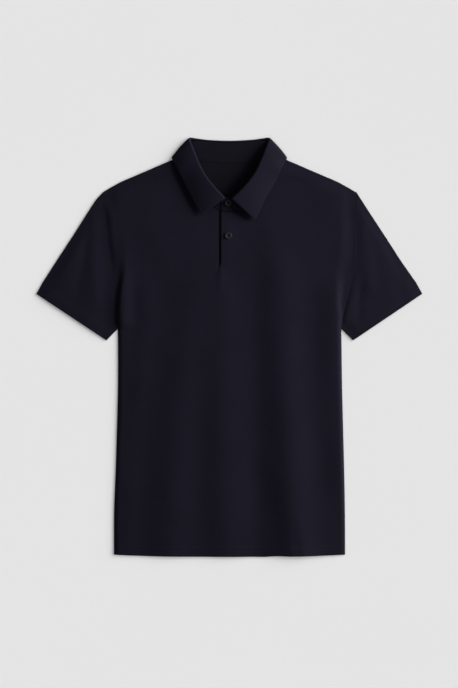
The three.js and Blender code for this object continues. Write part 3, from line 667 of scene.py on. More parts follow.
@dataclass(frozen=True)
class CollarForm:
    """Form of stand and leaf: sections on stations that run round the neck."""

    roll_radius: float = 2.2
    bulge: float = 1.2
    rest: float = 0.7
    stand_off: float = 3.0
    under_lift: float = -0.65
    over_lift: float = 0.95
    turn_inset: float = 2.2
    level_share: float = 0.22
    splits: int = 7
    front_stations: int = 6
    back_from: int = 7
    off_turns: tuple[float, float] = (2.0, 40.0)
    seam_turns: tuple[float, float] = (40.0, 110.0)
    edge_turns: tuple[float, float] = (44.0, 106.0)
    bulge_turns: tuple[float, float] = (80.0, 135.0)

    def station(self, row: CollarRow, sign: int, lift: float) -> Station:
        """Works out one station.

        Args:
            row: Sizes of the station on the +X half.
            sign: -1 to mirror it.
            lift: Lift of the seam over the body's wall.

        Returns:
            The station.
        """
        x, y = np.array([sign * row.seam_x]), np.array([row.seam_y])
        edge_x, edge_y = np.array([sign * row.edge_x]), np.array([row.edge_y])
        front = 1 - smooth(*self.seam_turns, row.turn)
        seam_front = FORM.front_inside(x, y)[0] + FORM.wall / 2
        seam_back = FORM.back_rise(y)[0] + FORM.wall / 2
        off = self.rest + self.stand_off * (1 - smooth(*self.off_turns, row.turn))
        edge_front = FORM.front_outside(edge_x, edge_y)[0] + FORM.seam_gap + off + FORM.wall / 2
        edge_share = 1 - smooth(*self.edge_turns, row.turn)
        fold = np.array([sign * row.fold_x, row.fold_y, row.fold_z])
        edge = np.array([sign * row.edge_x, row.edge_y, mix(FORM.wall / 2, edge_front, edge_share)])
        seam = np.array([sign * row.seam_x, row.seam_y, mix(seam_back, seam_front, front) + lift])
        down = ((edge + seam) / 2 - fold) * [1, 1, 0]
        down /= np.linalg.norm(down)
        inward = np.array([-down[1], down[0], 0.0])
        if inward @ np.array([NECK_CENTRE.x - fold[0], NECK_CENTRE.y - fold[1], 0.0]) < 0:
            inward = -inward
        turn = math.radians(row.turn)
        to_stand = inward * math.sin(turn) - np.array([0, 0, math.cos(turn)])
        centre = fold + down * (self.roll_radius + FORM.wall / 2)
        return Station(centre, edge, seam, down, to_stand, row.turn)

    def stations(self) -> list[Station]:
        """All stations, from the -X front end round the back to the +X front end, blended."""
        rows = []
        for i, row in enumerate(COLLAR_HALF):
            rows.append(self.station(row, -1, self.under_lift if i == 0 else 0.0))
        for i in range(len(COLLAR_HALF) - 2, -1, -1):
            row = COLLAR_RIGHT_FRONT[i] if i < len(COLLAR_RIGHT_FRONT) else COLLAR_HALF[i]
            rows.append(self.station(row, 1, self.over_lift if i == 0 else 0.0))
        result = []
        for i in range(len(rows) - 1):
            near = [rows[min(max(i + k, 0), len(rows) - 1)] for k in (-1, 0, 1, 2)]
            for k in range(self.splits):
                result.append(self.blend(near, k / self.splits))
        result.append(rows[-1])
        return result

    def blend(self, near: list[Station], t: float) -> Station:
        """Station between the middle two of four, on a smooth curve.

        Args:
            near: Four stations in order.
            t: Share of the way from the second to the third.

        Returns:
            The blended station.
        """
        weights = (
            0.5 * (-t + 2 * t * t - t**3),
            0.5 * (2 - 5 * t * t + 3 * t**3),
            0.5 * (t + 4 * t * t - 3 * t**3),
            0.5 * (-t * t + t**3),
        )

        def read(name: str) -> Grid:
            """Weighted value of one field."""
            return sum(w * getattr(s, name) for w, s in zip(weights, near))

        down, to_stand = read("down"), read("to_stand")
        return Station(
            read("centre"), read("edge"), read("seam"), down / np.linalg.norm(down),
            to_stand / np.linalg.norm(to_stand), mix(near[1].turn, near[2].turn, t),
        )

    def leaf_section(self, s: Station, roll: Grid, fall: Grid) -> Grid:
        """Points of the leaf at a station: round the roll, then down to the edge.

        Args:
            s: The station.
            roll: Angles round the roll.
            fall: Shares of the way from the roll to the edge.

        Returns:
            Points, one row each.
        """
        turned = s.centre + self.roll_radius * (
            np.cos(roll)[:, None] * s.to_stand - np.sin(roll)[:, None] * s.down)
        start = s.centre - self.roll_radius * s.to_stand
        bulge = self.bulge * (1 - smooth(*self.bulge_turns, s.turn))
        middle = mix(start, s.edge, 0.5) - 2 * bulge * s.to_stand
        return np.concatenate([turned, bend(start, middle, s.edge, fall)])

    def stand_top(self, s: Station) -> Grid:
        """Top of the stand at a station, just under the roll."""
        turning = math.sin(math.radians(min(max(s.turn, 0), 180)))
        inset = self.roll_radius + self.turn_inset * turning
        return s.centre + s.to_stand * inset + s.down * FORM.seam_gap * (2 + 4 * turning)

    def stand_section(self, seam: Grid, top: Grid, steps: Grid) -> Grid:
        """Points of the stand between its seam and its top."""
        control = mix(seam, top, 0.5)
        control[2] = mix(seam[2], top[2], self.level_share)
        return bend(seam, control, top, steps)

    def stand_end(self, row: StandEnd, steps: Grid) -> Grid:
        """Section of a stand end past the leaf."""
        x, y = np.array([row.seam_x]), np.array([row.seam_y])
        seam_z = FORM.front_inside(x, y)[0] + FORM.wall / 2 + row.seam_lift
        seam = np.array([row.seam_x, row.seam_y, seam_z])
        return self.stand_section(seam, np.array([row.top_x, row.top_y, row.top_z]), steps)


def bend(start: Grid, control: Grid, finish: Grid, t: Grid) -> Grid:
    """Points on a curve from start to finish that is drawn towards control."""
    t = np.asarray(t)[:, None]
    return (1 - t) ** 2 * start + 2 * t * (1 - t) * control + t * t * finish


@dataclass
class Tree:
    """Adds and joins the nodes of one node tree."""

    tree: bpy.types.NodeTree

    def add(self, kind: str, inputs: dict | None = None, **settings: object) -> bpy.types.Node:
        """Adds a node.

        Args:
            kind: Blender's name of the node type.
            inputs: Values or sockets for its inputs, by name or index.
            settings: Attributes of the node.

        Returns:
            The node.
        """
        node = self.tree.nodes.new(kind)
        for name, value in settings.items():
            setattr(node, name, value)
        for name, value in (inputs or {}).items():
            if isinstance(value, bpy.types.NodeSocket):
                self.join(value, node.inputs[name])
            else:
                node.inputs[name].default_value = value
        return node

    def join(self, given: bpy.types.NodeSocket, taken: bpy.types.NodeSocket) -> None:
        """Links an output to an input."""
        self.tree.links.new(given, taken)

    def math(self, operation: str, a: object, b: object = 0.0, c: object = 0.0) -> bpy.types.NodeSocket:
        """Result of a Math node on numbers or sockets."""
        return self.add("ShaderNodeMath", {0: a, 1: b, 2: c}, operation=operation).outputs[0]


@dataclass(frozen=True)
class KnitCells:
    """Node group of a small-celled knit: staggered cells, uneven yarn, and slow shade changes."""

    name: str = "knit_cells"
    slant: float = 0.7
    yarn_scale: float = 900.0
    patch_scale: float = 14.0
    yarn_height: float = 1.2
    yarn_shade: float = 0.5
    knit_shade: float = 0.12
    roughness: float = 0.88
    roughness_spread: float = 0.2

    def tree(self) -> bpy.types.NodeTree:
        """The group, built the first time that it is asked for."""
        found = bpy.data.node_groups.get(self.name)
        return found or self.build()

    def build(self) -> bpy.types.NodeTree:
        """Builds the group.

        Returns:
            The node group, with outputs Height, Shade and Roughness.
        """
        group = bpy.data.node_groups.new(self.name, "ShaderNodeTree")
        face = group.interface
        face.new_socket("Vector", in_out="INPUT", socket_type="NodeSocketVector")
        for name in ("Cell", "Rib", "Variation"):
            face.new_socket(name, in_out="INPUT", socket_type="NodeSocketFloat")
        for name in ("Height", "Shade", "Roughness"):
            face.new_socket(name, in_out="OUTPUT", socket_type="NodeSocketFloat")
        tree = Tree(group)
        given = group.nodes.new("NodeGroupInput").outputs
        axes = tree.add("ShaderNodeSeparateXYZ", {0: given["Vector"]}).outputs
        turns = tree.math("DIVIDE", 2 * math.pi, given["Cell"])
        across = tree.math("SINE", tree.math("MULTIPLY", axes["X"], turns))
        climb = tree.math("MULTIPLY_ADD", axes["Z"], self.slant, axes["Y"])
        along = tree.math("SINE", tree.math("MULTIPLY", climb, turns))
        cells = tree.math("MULTIPLY", across, along)
        ribs = tree.math("ABSOLUTE", tree.math("SINE", tree.math("MULTIPLY", axes["Y"], turns)))
        knit = tree.add("ShaderNodeMix", {0: given["Rib"], 2: cells, 3: ribs}).outputs[0]
        place = given["Vector"]
        yarn = tree.add("ShaderNodeTexNoise", {"Vector": place, "Scale": self.yarn_scale, "Detail": 2.0})
        patches = tree.add("ShaderNodeTexNoise", {"Vector": place, "Scale": self.patch_scale, "Detail": 3.0})
        fuzz = tree.math("SUBTRACT", yarn.outputs["Fac"], 0.5)
        slow = tree.math("SUBTRACT", patches.outputs["Fac"], 0.5)
        height = tree.math("MULTIPLY_ADD", fuzz, self.yarn_height, knit)
        uneven = tree.math("MULTIPLY_ADD", fuzz, self.yarn_shade, slow)
        lit = tree.math("MULTIPLY_ADD", knit, self.knit_shade, uneven)
        shade = tree.math("MULTIPLY_ADD", lit, given["Variation"], 1.0)
        rough = tree.math("MULTIPLY_ADD", fuzz, self.roughness_spread, self.roughness)
        made = group.nodes.new("NodeGroupOutput").inputs
        for name, socket in (("Height", height), ("Shade", shade), ("Roughness", rough)):
            group.links.new(socket, made[name])
        return group

    def place(
        self, tree: Tree, where: bpy.types.NodeSocket, cell: float, rib: float, variation: float,
    ) -> dict:
        """Puts the group into a material.

        Args:
            tree: The material's tree.
            where: Coordinates that the knit follows.
            cell: Size of a cell, in metres.
            rib: How far the cells turn into ribs.
            variation: How strongly the shade changes.

        Returns:
            The group's outputs, by name.
        """
        inputs = {"Vector": where, "Cell": cell, "Rib": rib, "Variation": variation}
        return tree.add("ShaderNodeGroup", inputs, node_tree=self.tree()).outputs


class Weave(Enum):
    """What a cloth's knit follows: the body, a sleeve's slant, or the collar's own length."""

    BODY = 0.0
    SLEEVE_LEFT = -0.61
    SLEEVE_RIGHT = 0.61
    COLLAR = 9.0


@dataclass(frozen=True)
class Finish:
    """A procedural material."""

    name: str

    def material(self) -> bpy.types.Material:
        """The material, built the first time that it is asked for."""
        found = bpy.data.materials.get(self.name)
        if found:
            return found
        material = bpy.data.materials.new(self.name)
        material.use_nodes = True
        self.shade(Tree(material.node_tree), material.node_tree.nodes["Principled BSDF"].inputs)
        return material

    def shade(self, tree: Tree, shader: dict) -> None:
        """Adds the finish's own nodes.

        Args:
            tree: The material's tree.
            shader: Inputs of its shader, by name.
        """
        raise NotImplementedError


@dataclass(frozen=True)
class ClothFinish(Finish):
    """Dark navy cotton knit, matt with a faint bloom where it turns away."""

    weave: Weave = Weave.BODY
    colour: tuple[float, float, float] = (0.0076, 0.0062, 0.0142)
    cell: float = 0.0013
    rib: float = 0.0
    variation: float = 0.5
    bump: float = 0.35
    relief: float = 0.0002
    sheen: float = 0.06
    sheen_roughness: float = 0.45
    sheen_tint: tuple[float, float, float, float] = (0.75, 0.78, 1.0, 1.0)
    specular: float = 0.12

    def shade(self, tree: Tree, shader: dict) -> None:
        """Adds the knit, following the piece or its own length.

        Args:
            tree: The material's tree.
            shader: Inputs of its shader, by name.
        """
        if self.weave is Weave.COLLAR:
            place = tree.add("ShaderNodeAttribute", attribute_name="weave").outputs["Vector"]
        else:
            place = tree.add("ShaderNodeTexCoord").outputs["Object"]
            turned = {"Vector": place, "Rotation": (0.0, 0.0, self.weave.value)}
            place = tree.add("ShaderNodeMapping", turned).outputs[0]
        knit = KnitCells().place(tree, place, self.cell, self.rib, self.variation)
        scaled = {0: self.colour, "Scale": knit["Shade"]}
        tint = tree.add("ShaderNodeVectorMath", scaled, operation="SCALE")
        raised = {"Height": knit["Height"], "Distance": self.relief, "Strength": self.bump}
        tree.join(tint.outputs[0], shader["Base Color"])
        tree.join(knit["Roughness"], shader["Roughness"])
        tree.join(tree.add("ShaderNodeBump", raised).outputs[0], shader["Normal"])
        shader["Specular IOR Level"].default_value = self.specular
        shader["Sheen Weight"].default_value = self.sheen
        shader["Sheen Roughness"].default_value = self.sheen_roughness
        shader["Sheen Tint"].default_value = self.sheen_tint


@dataclass(frozen=True)
class ThreadFinish(Finish):
    """Sewing thread, a shade darker than the cloth, with its twist."""

    name: str = "sewing_thread"
    colour: tuple[float, float, float] = (0.0062, 0.0052, 0.0108)
    twist: float = 0.0006
    variation: float = 0.6
    relief: float = 0.00006
    roughness: float = 0.6
    specular: float = 0.08

    def shade(self, tree: Tree, shader: dict) -> None:
        """Adds the twist as fine ribs.

        Args:
            tree: The material's tree.
            shader: Inputs of its shader, by name.
        """
        place = tree.add("ShaderNodeTexCoord").outputs["Object"]
        knit = KnitCells().place(tree, place, self.twist, 1.0, self.variation)
        scaled = {0: self.colour, "Scale": knit["Shade"]}
        tint = tree.add("ShaderNodeVectorMath", scaled, operation="SCALE")
        raised = {"Height": knit["Height"], "Distance": self.relief}
        tree.join(tint.outputs[0], shader["Base Color"])
        tree.join(tree.add("ShaderNodeBump", raised).outputs[0], shader["Normal"])
        shader["Roughness"].default_value = self.roughness
        shader["Specular IOR Level"].default_value = self.specular


@dataclass(frozen=True)
class ButtonFinish(Finish):
    """Dark moulded button, half glossy, with soft swirls and fine handling marks."""

    name: str = "dark_button"
    colour: tuple[float, float, float] = (0.0150, 0.0136, 0.0208)
    pale: tuple[float, float, float] = (0.0198, 0.0185, 0.0264)
    swirl_scale: float = 300.0
    swirl_distortion: float = 2.0
    mark_scale: float = 2600.0
    roughness: float = 0.35
    roughness_spread: float = 0.2
    relief: float = 0.00002
    specular: float = 0.16

    def shade(self, tree: Tree, shader: dict) -> None:
        """Adds the swirls and marks.

        Args:
            tree: The material's tree.
            shader: Inputs of its shader, by name.
        """
        place = tree.add("ShaderNodeTexCoord").outputs["Object"]
        swirls = {"Vector": place, "Scale": self.swirl_scale, "Distortion": self.swirl_distortion}
        swirl = tree.add("ShaderNodeTexNoise", swirls).outputs["Fac"]
        fine = {"Vector": place, "Scale": self.mark_scale, "Detail": 3.0}
        marks = tree.add("ShaderNodeTexNoise", fine).outputs["Fac"]
        colours = {0: swirl, 6: (*self.colour, 1.0), 7: (*self.pale, 1.0)}
        tint = tree.add("ShaderNodeMix", colours, data_type="RGBA")
        rough = tree.math("MULTIPLY_ADD", marks, self.roughness_spread, self.roughness)
        raised = {"Height": marks, "Distance": self.relief}
        tree.join(tint.outputs[2], shader["Base Color"])
        tree.join(rough, shader["Roughness"])
        tree.join(tree.add("ShaderNodeBump", raised).outputs[0], shader["Normal"])
        shader["Specular IOR Level"].default_value = self.specular


@dataclass(frozen=True)
class FloorFinish(Finish):
    """Plain pale studio floor."""

    name: str = "pale_floor"
    colour: float = 0.86
    spread: float = 0.01

    def shade(self, tree: Tree, shader: dict) -> None:
        """Adds faint slow changes of the pale colour.

        Args:
            tree: The material's tree.
            shader: Inputs of its shader, by name.
        """
        place = tree.add("ShaderNodeTexCoord").outputs["Object"]
        grain = tree.add("ShaderNodeTexNoise", {"Vector": place, "Scale": 3.0, "Detail": 1.0})
        level = tree.math("MULTIPLY_ADD", grain.outputs["Fac"], self.spread, self.colour - self.spread / 2)
        pale = tree.add("ShaderNodeCombineXYZ", {"X": level, "Y": level, "Z": level})
        tree.join(pale.outputs[0], shader["Base Color"])
        shader["Roughness"].default_value = 1.0
        shader["Specular IOR Level"].default_value = 0.0


@dataclass(frozen=True)
class Sewing:
    """Rows of topstitching that stand a little out of the cloth."""

    length: float = 2.3
    gap: float = 0.7
    radius: float = 0.16
    dip: float = 0.22
    seat: float = 0.1
    reach: float = 0.2
    sides: int = 6
    shares: tuple[float, ...] = (0.0, 0.2, 0.5, 0.8, 1.0)
    swell: tuple[float, ...] = (0.35, 0.85, 1.0, 0.85, 0.35)

    def row(self, path: Grid, up: Grid | None = None) -> tuple[Grid, list]:
        """One row of stitches along a path.

        Args:
            path: Points on the cloth's surface, close together.
            up: Direction away from the cloth at each point, or None for straight up.

        Returns:
            Vertices and faces.
        """
        path = np.asarray(path, dtype=float)
        up = np.tile([0.0, 0.0, 1.0], (len(path), 1)) if up is None else np.asarray(up)
        run = np.concatenate([[0.0], np.cumsum(np.linalg.norm(np.diff(path, axis=0), axis=1))])
        count = max(int(run[-1] // (self.length + self.gap)), 1)
        first = (run[-1] - count * (self.length + self.gap) + self.gap) / 2
        shares = np.array(self.shares)
        sink = self.dip * (2 * shares - 1) ** 2
        at = first + np.arange(count)[:, None] * (self.length + self.gap) + shares * self.length

        def read(values: Grid, where: Grid) -> Grid:
            """Values of the path at distances along it."""
            return np.stack([np.interp(where, run, values[:, k]) for k in range(3)], axis=-1)

        middle = read(path, at)
        away = read(up, at)
        away /= np.linalg.norm(away, axis=-1, keepdims=True)
        ahead = read(path, at + self.reach) - read(path, at - self.reach)
        ahead /= np.maximum(np.linalg.norm(ahead, axis=-1, keepdims=True), TINY)
        beside = np.cross(ahead, away)
        middle = middle + away * (self.radius * self.seat - sink)[:, None]
        angle = np.arange(self.sides) * 2 * math.pi / self.sides
        reach = self.radius * np.array(self.swell)[:, None]
        ring = (beside[:, :, None] * (np.cos(angle) * reach)[..., None]
                + away[:, :, None] * (np.sin(angle) * reach)[..., None])
        points = (middle[:, :, None] + ring).reshape(-1, 3)
        faces = []
        rings = len(shares)
        block = rings * self.sides
        base = grid_faces(rows=rings, columns=self.sides, ringed=True, offset=0, turned=True)
        ends = [list(range(self.sides)), list(range(block - self.sides, block))[::-1]]
        for k in range(count):
            faces += [[v + k * block for v in face] for face in base + ends]
        return points, faces

    def sew(self, name: str, rows: list[tuple[Grid, Grid | None]]) -> bpy.types.Object:
        """Makes one object of several rows.

        Args:
            name: Object name.
            rows: Path and up directions of each row.

        Returns:
            The object, riding on the body.
        """
        points, faces, total = [], [], 0
        for path, up in rows:
            row_points, row_faces = self.row(path, up)
            points.append(row_points)
            faces += [[v + total for v in face] for face in row_faces]
            total += len(row_points)
        piece = make_mesh(name, np.concatenate(points), faces, sharp=180)
        piece.data.materials.append(ThreadFinish().material())
        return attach(piece, BODY)


def mark_weave(piece: bpy.types.Object, grid: Grid) -> None:
    """Stores how far each point is along and across its grid, for the knit to follow.

    Args:
        piece: Closed shell made from two grids of this shape.
        grid: Middle surface of the shell.
    """
    along = np.zeros(grid.shape[:2])
    along[1:] = np.cumsum(np.linalg.norm(np.diff(grid, axis=0), axis=2).mean(axis=1))[:, None]
    across = np.zeros(grid.shape[:2])
    across[:, 1:] = np.cumsum(np.linalg.norm(np.diff(grid, axis=1), axis=2), axis=1)
    once = np.stack([along, across, np.zeros_like(along)], axis=-1).reshape(-1, 3) * MM
    attribute = piece.data.attributes.new("weave", "FLOAT_VECTOR", "POINT")
    attribute.data.foreach_set("vector", np.concatenate([once, once]).ravel().astype(np.float32))


def paint_inside_shade(piece: bpy.types.Object, finish: ClothFinish, share: Callable[[Grid, Grid], Grid]) -> None:
    """Gives the faces that look into the shirt a darker finish: the knit's duller reverse, darkened further
    with painted shade of the neck's hollow.

    Args:
        piece: A dressed piece.
        finish: Darker finish that carries the painted shade.
        share: Takes face centres in millimetres and face normals, and tells which look inside.
    """
    mesh = piece.data
    count = len(mesh.polygons)
    centres, normals = np.zeros(3 * count), np.zeros(3 * count)
    mesh.polygons.foreach_get("center", centres)
    mesh.polygons.foreach_get("normal", normals)
    inside = share(centres.reshape(-1, 3) / MM, normals.reshape(-1, 3))
    mesh.materials.append(finish.material())
    mesh.polygons.foreach_set("material_index", inside.astype(np.int32))


def dress(piece: bpy.types.Object, finish: Finish, node: str) -> bpy.types.Object:
    """Gives a piece its finish and slot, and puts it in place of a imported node.

    Args:
        piece: The piece.
        finish: Finish whose material it takes.
        node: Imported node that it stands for.

    Returns:
        The piece.
    """
    piece.data.materials.clear()
    piece.data.materials.append(finish.material())
    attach(piece, BODY)
    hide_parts(node)
    return piece


@dataclass(frozen=True)
class HemStitches:
    """Twin rows of stitches along a hem, sunk in shallow dents."""

    lines: tuple[float, float]
    depth: float = 0.22
    width: float = 0.8

    def dents(self, above: Grid) -> Grid:
        """Depth of the dents at distances from the hem's edge."""
        return sum(self.depth * np.exp(-(((above - line) / self.width) ** 2)) for line in self.lines)


@dataclass
class BodyPanel:
    """Front or back of the body: a closed shell over the shirt's flat outline."""

    name: str
    columns: int = 134
    rows: int = 214
    edge_round: float = 1.5
    sewn: float = 0.7
    sewn_fade: float = 4.0
    beyond: float = 20.0
    stitches: HemStitches = HemStitches((14.6, 18.8))
    line_step: float = 0.7
    flat: tuple[float, float] = (0.434, 0.726)

    def plan(self) -> tuple[Grid, Grid, Grid]:
        """Points over the outline.

        Returns:
            X, Y and the distance from the nearest edge.
        """
        first, last = BODY_EDGE[0], BODY_EDGE[-1]
        width = first.right - first.left
        u = edged_steps(self.columns, self.edge_round / width)
        near_hem = []
        for line in self.stitches.lines:
            near_hem += [line + k * self.line_step for k in range(-2, 3)]
        height = SHOULDER_TIP_Y - first.y
        v = edged_steps(self.rows, self.edge_round / height)
        clear = (v * height < min(near_hem) - 1) | (v * height > max(near_hem) + 1)
        v = np.sort(np.concatenate([v[clear], np.array(near_hem) / height]))
        v, u = np.meshgrid(v, u, indexing="ij")
        top = np.maximum(FORM.shoulder(mix(last.left, last.right, u)), SHOULDER_TIP_Y)
        hem = FORM.hem(mix(first.left, first.right, u))
        y = mix(hem, top, v)
        row_y = mix(first.y, SHOULDER_TIP_Y, v)
        edge_y = mix(row_y, np.maximum(y, row_y), u * (1 - u) * 4)
        left, right = FORM.edge(edge_y, Side.LEFT), FORM.edge(edge_y, Side.RIGHT)
        x = mix(left, right, u)
        sewn = self.sewn * smooth(ARMPIT_Y - self.sewn_fade, ARMPIT_Y + self.sewn_fade, y)
        from_edge = np.minimum.reduce([x - left + sewn, right - x + sewn, y - hem, top - y])
        return x, y, from_edge


def neck_line(stations: list[Station], gap: float) -> list[LinePoint]:
    """Seam line of a run of stations, pushed out from the neck by a gap."""
    line = []
    for s in stations:
        away = s.seam[:2] - np.array(NECK_CENTRE)
        away = away / np.linalg.norm(away) * gap
        line.append(LinePoint(s.seam[0] + away[0], s.seam[1] + away[1]))
    return line


@dataclass
class FrontPanel(BodyPanel):
    """Front of the body, cut away for the neck and for the placket's slot."""

    name: str = "front"
    cut_area: float = 0.0137
    neck_gap: float = 1.5
    stitch_points: int = 500
    stitch_margin: float = 2.0

    def build(self, collar: "Collar") -> bpy.types.Object:
        """Makes, cuts and dresses the panel.

        Args:
            collar: The collar, whose seam line is the neckline.

        Returns:
            The panel.
        """
        x, y, from_edge = self.plan()
        inside = FORM.front_inside(x, y)
        wall = FORM.front_outside(x, y) - inside - self.stitches.dents(y - FORM.hem(x))
        outer = np.stack([x, y, inside + wall * soft_edge(from_edge, self.edge_round)], axis=-1)
        inner = np.stack([x, y, inside], axis=-1)
        piece = closed_shell(self.name, outer, inner)
        cut(piece, [self.neck_cutter(collar), self.slot_cutter()])
        dress(piece, ClothFinish("body_knit"), "front_panel")
        return piece

    def neck_cutter(self, collar: "Collar") -> bpy.types.Object:
        """Prism over the neck opening of the front."""
        shoulder = collar.form.front_stations * collar.form.splits
        gap = FORM.seam_gap * self.neck_gap
        left = neck_line(collar.stations[: shoulder + 1], gap)[::-1]
        right = neck_line(collar.stations[-shoulder - 1:], gap)[::-1]
        top = NECK_POINT.y + self.beyond
        first = LinePoint(left[0].x - FORM.seam_gap, top)
        last = LinePoint(right[-1].x + FORM.seam_gap, top)
        return prism("neck_cutter", [first, *left, *right, last])

    def slot_cutter(self) -> bpy.types.Object:
        """Prism over the slot that the placket fills."""
        placket = Placket()
        left, right = placket.left, placket.right
        bottom, top = placket.bottom, NECK_CENTRE.y
        corners = [(left, bottom), (right, bottom), (right, top), (left, top)]
        return prism("slot_cutter", [LinePoint(*corner) for corner in corners])

    def sew(self) -> bpy.types.Object:
        """Twin rows of stitches along the hem."""
        rows = []
        edge = BODY_EDGE[0]
        x = np.linspace(edge.left + self.stitch_margin, edge.right - self.stitch_margin, self.stitch_points)
        for line in self.stitches.lines:
            y = FORM.hem(x) + line
            z = FORM.front_outside(x, y) - self.stitches.depth
            rows.append((np.stack([x, y, z], axis=-1), None))
        return Sewing().sew("hem_stitching", rows)


@dataclass
class BackPanel(BodyPanel):
    """Back of the body, flat on the floor and rising a little over the collar behind the neck."""

    name: str = "back"
    columns: int = 80
    rows: int = 120
    corner: float = 6.0
    cut_area: float = 0.0012
    faces_up: float = 0.3

    def build(self, collar: "Collar") -> bpy.types.Object:
        """Makes, cuts and dresses the panel.

        Args:
            collar: The collar, whose seam line is the neckline.

        Returns:
            The panel.
        """
        x, y, from_edge = self.plan()
        top = FORM.back_rise(y) + FORM.wall
        dents = self.stitches.dents(y - FORM.hem(x))
        wall = (FORM.wall - dents) * soft_edge(from_edge, self.edge_round)
        outer = np.stack([x, y, top], axis=-1)
        inner = np.stack([x, y, top - wall], axis=-1)
        piece = closed_shell(self.name, outer, inner)
        cut(piece, [self.neck_cutter(collar)])
        dress(piece, ClothFinish("body_knit"), "back_panel")
        # Faces of the back that look up show only in the neck opening; their darker colour is painted shade
        # of the neck's hollow on the knit's reverse.
        inside_shade = ClothFinish("body_inside_painted_shade", colour=BODY_INSIDE_PAINTED_SHADE)
        paint_inside_shade(piece, inside_shade, lambda centres, normals: normals[:, 2] > self.faces_up)
        return piece

    def neck_cutter(self, collar: "Collar") -> bpy.types.Object:
        """Prism over the neck opening of the back, under the stand's seam line."""
        shoulder = collar.form.back_from * collar.form.splits
        gap = 2 * FORM.seam_gap
        line = [LinePoint(s.seam[0], s.seam[1] - gap) for s in collar.stations[shoulder:-shoulder]]
        first, last = line[0], line[-1]
        top = NECK_POINT.y + self.beyond
        low = self.corner / 2
        before = [LinePoint(first.x - self.corner, top), LinePoint(first.x - self.corner, first.y - low)]
        after = [LinePoint(last.x + self.corner, last.y - low), LinePoint(last.x + self.corner, top)]
        return prism("back_neck_cutter", before + line + after)


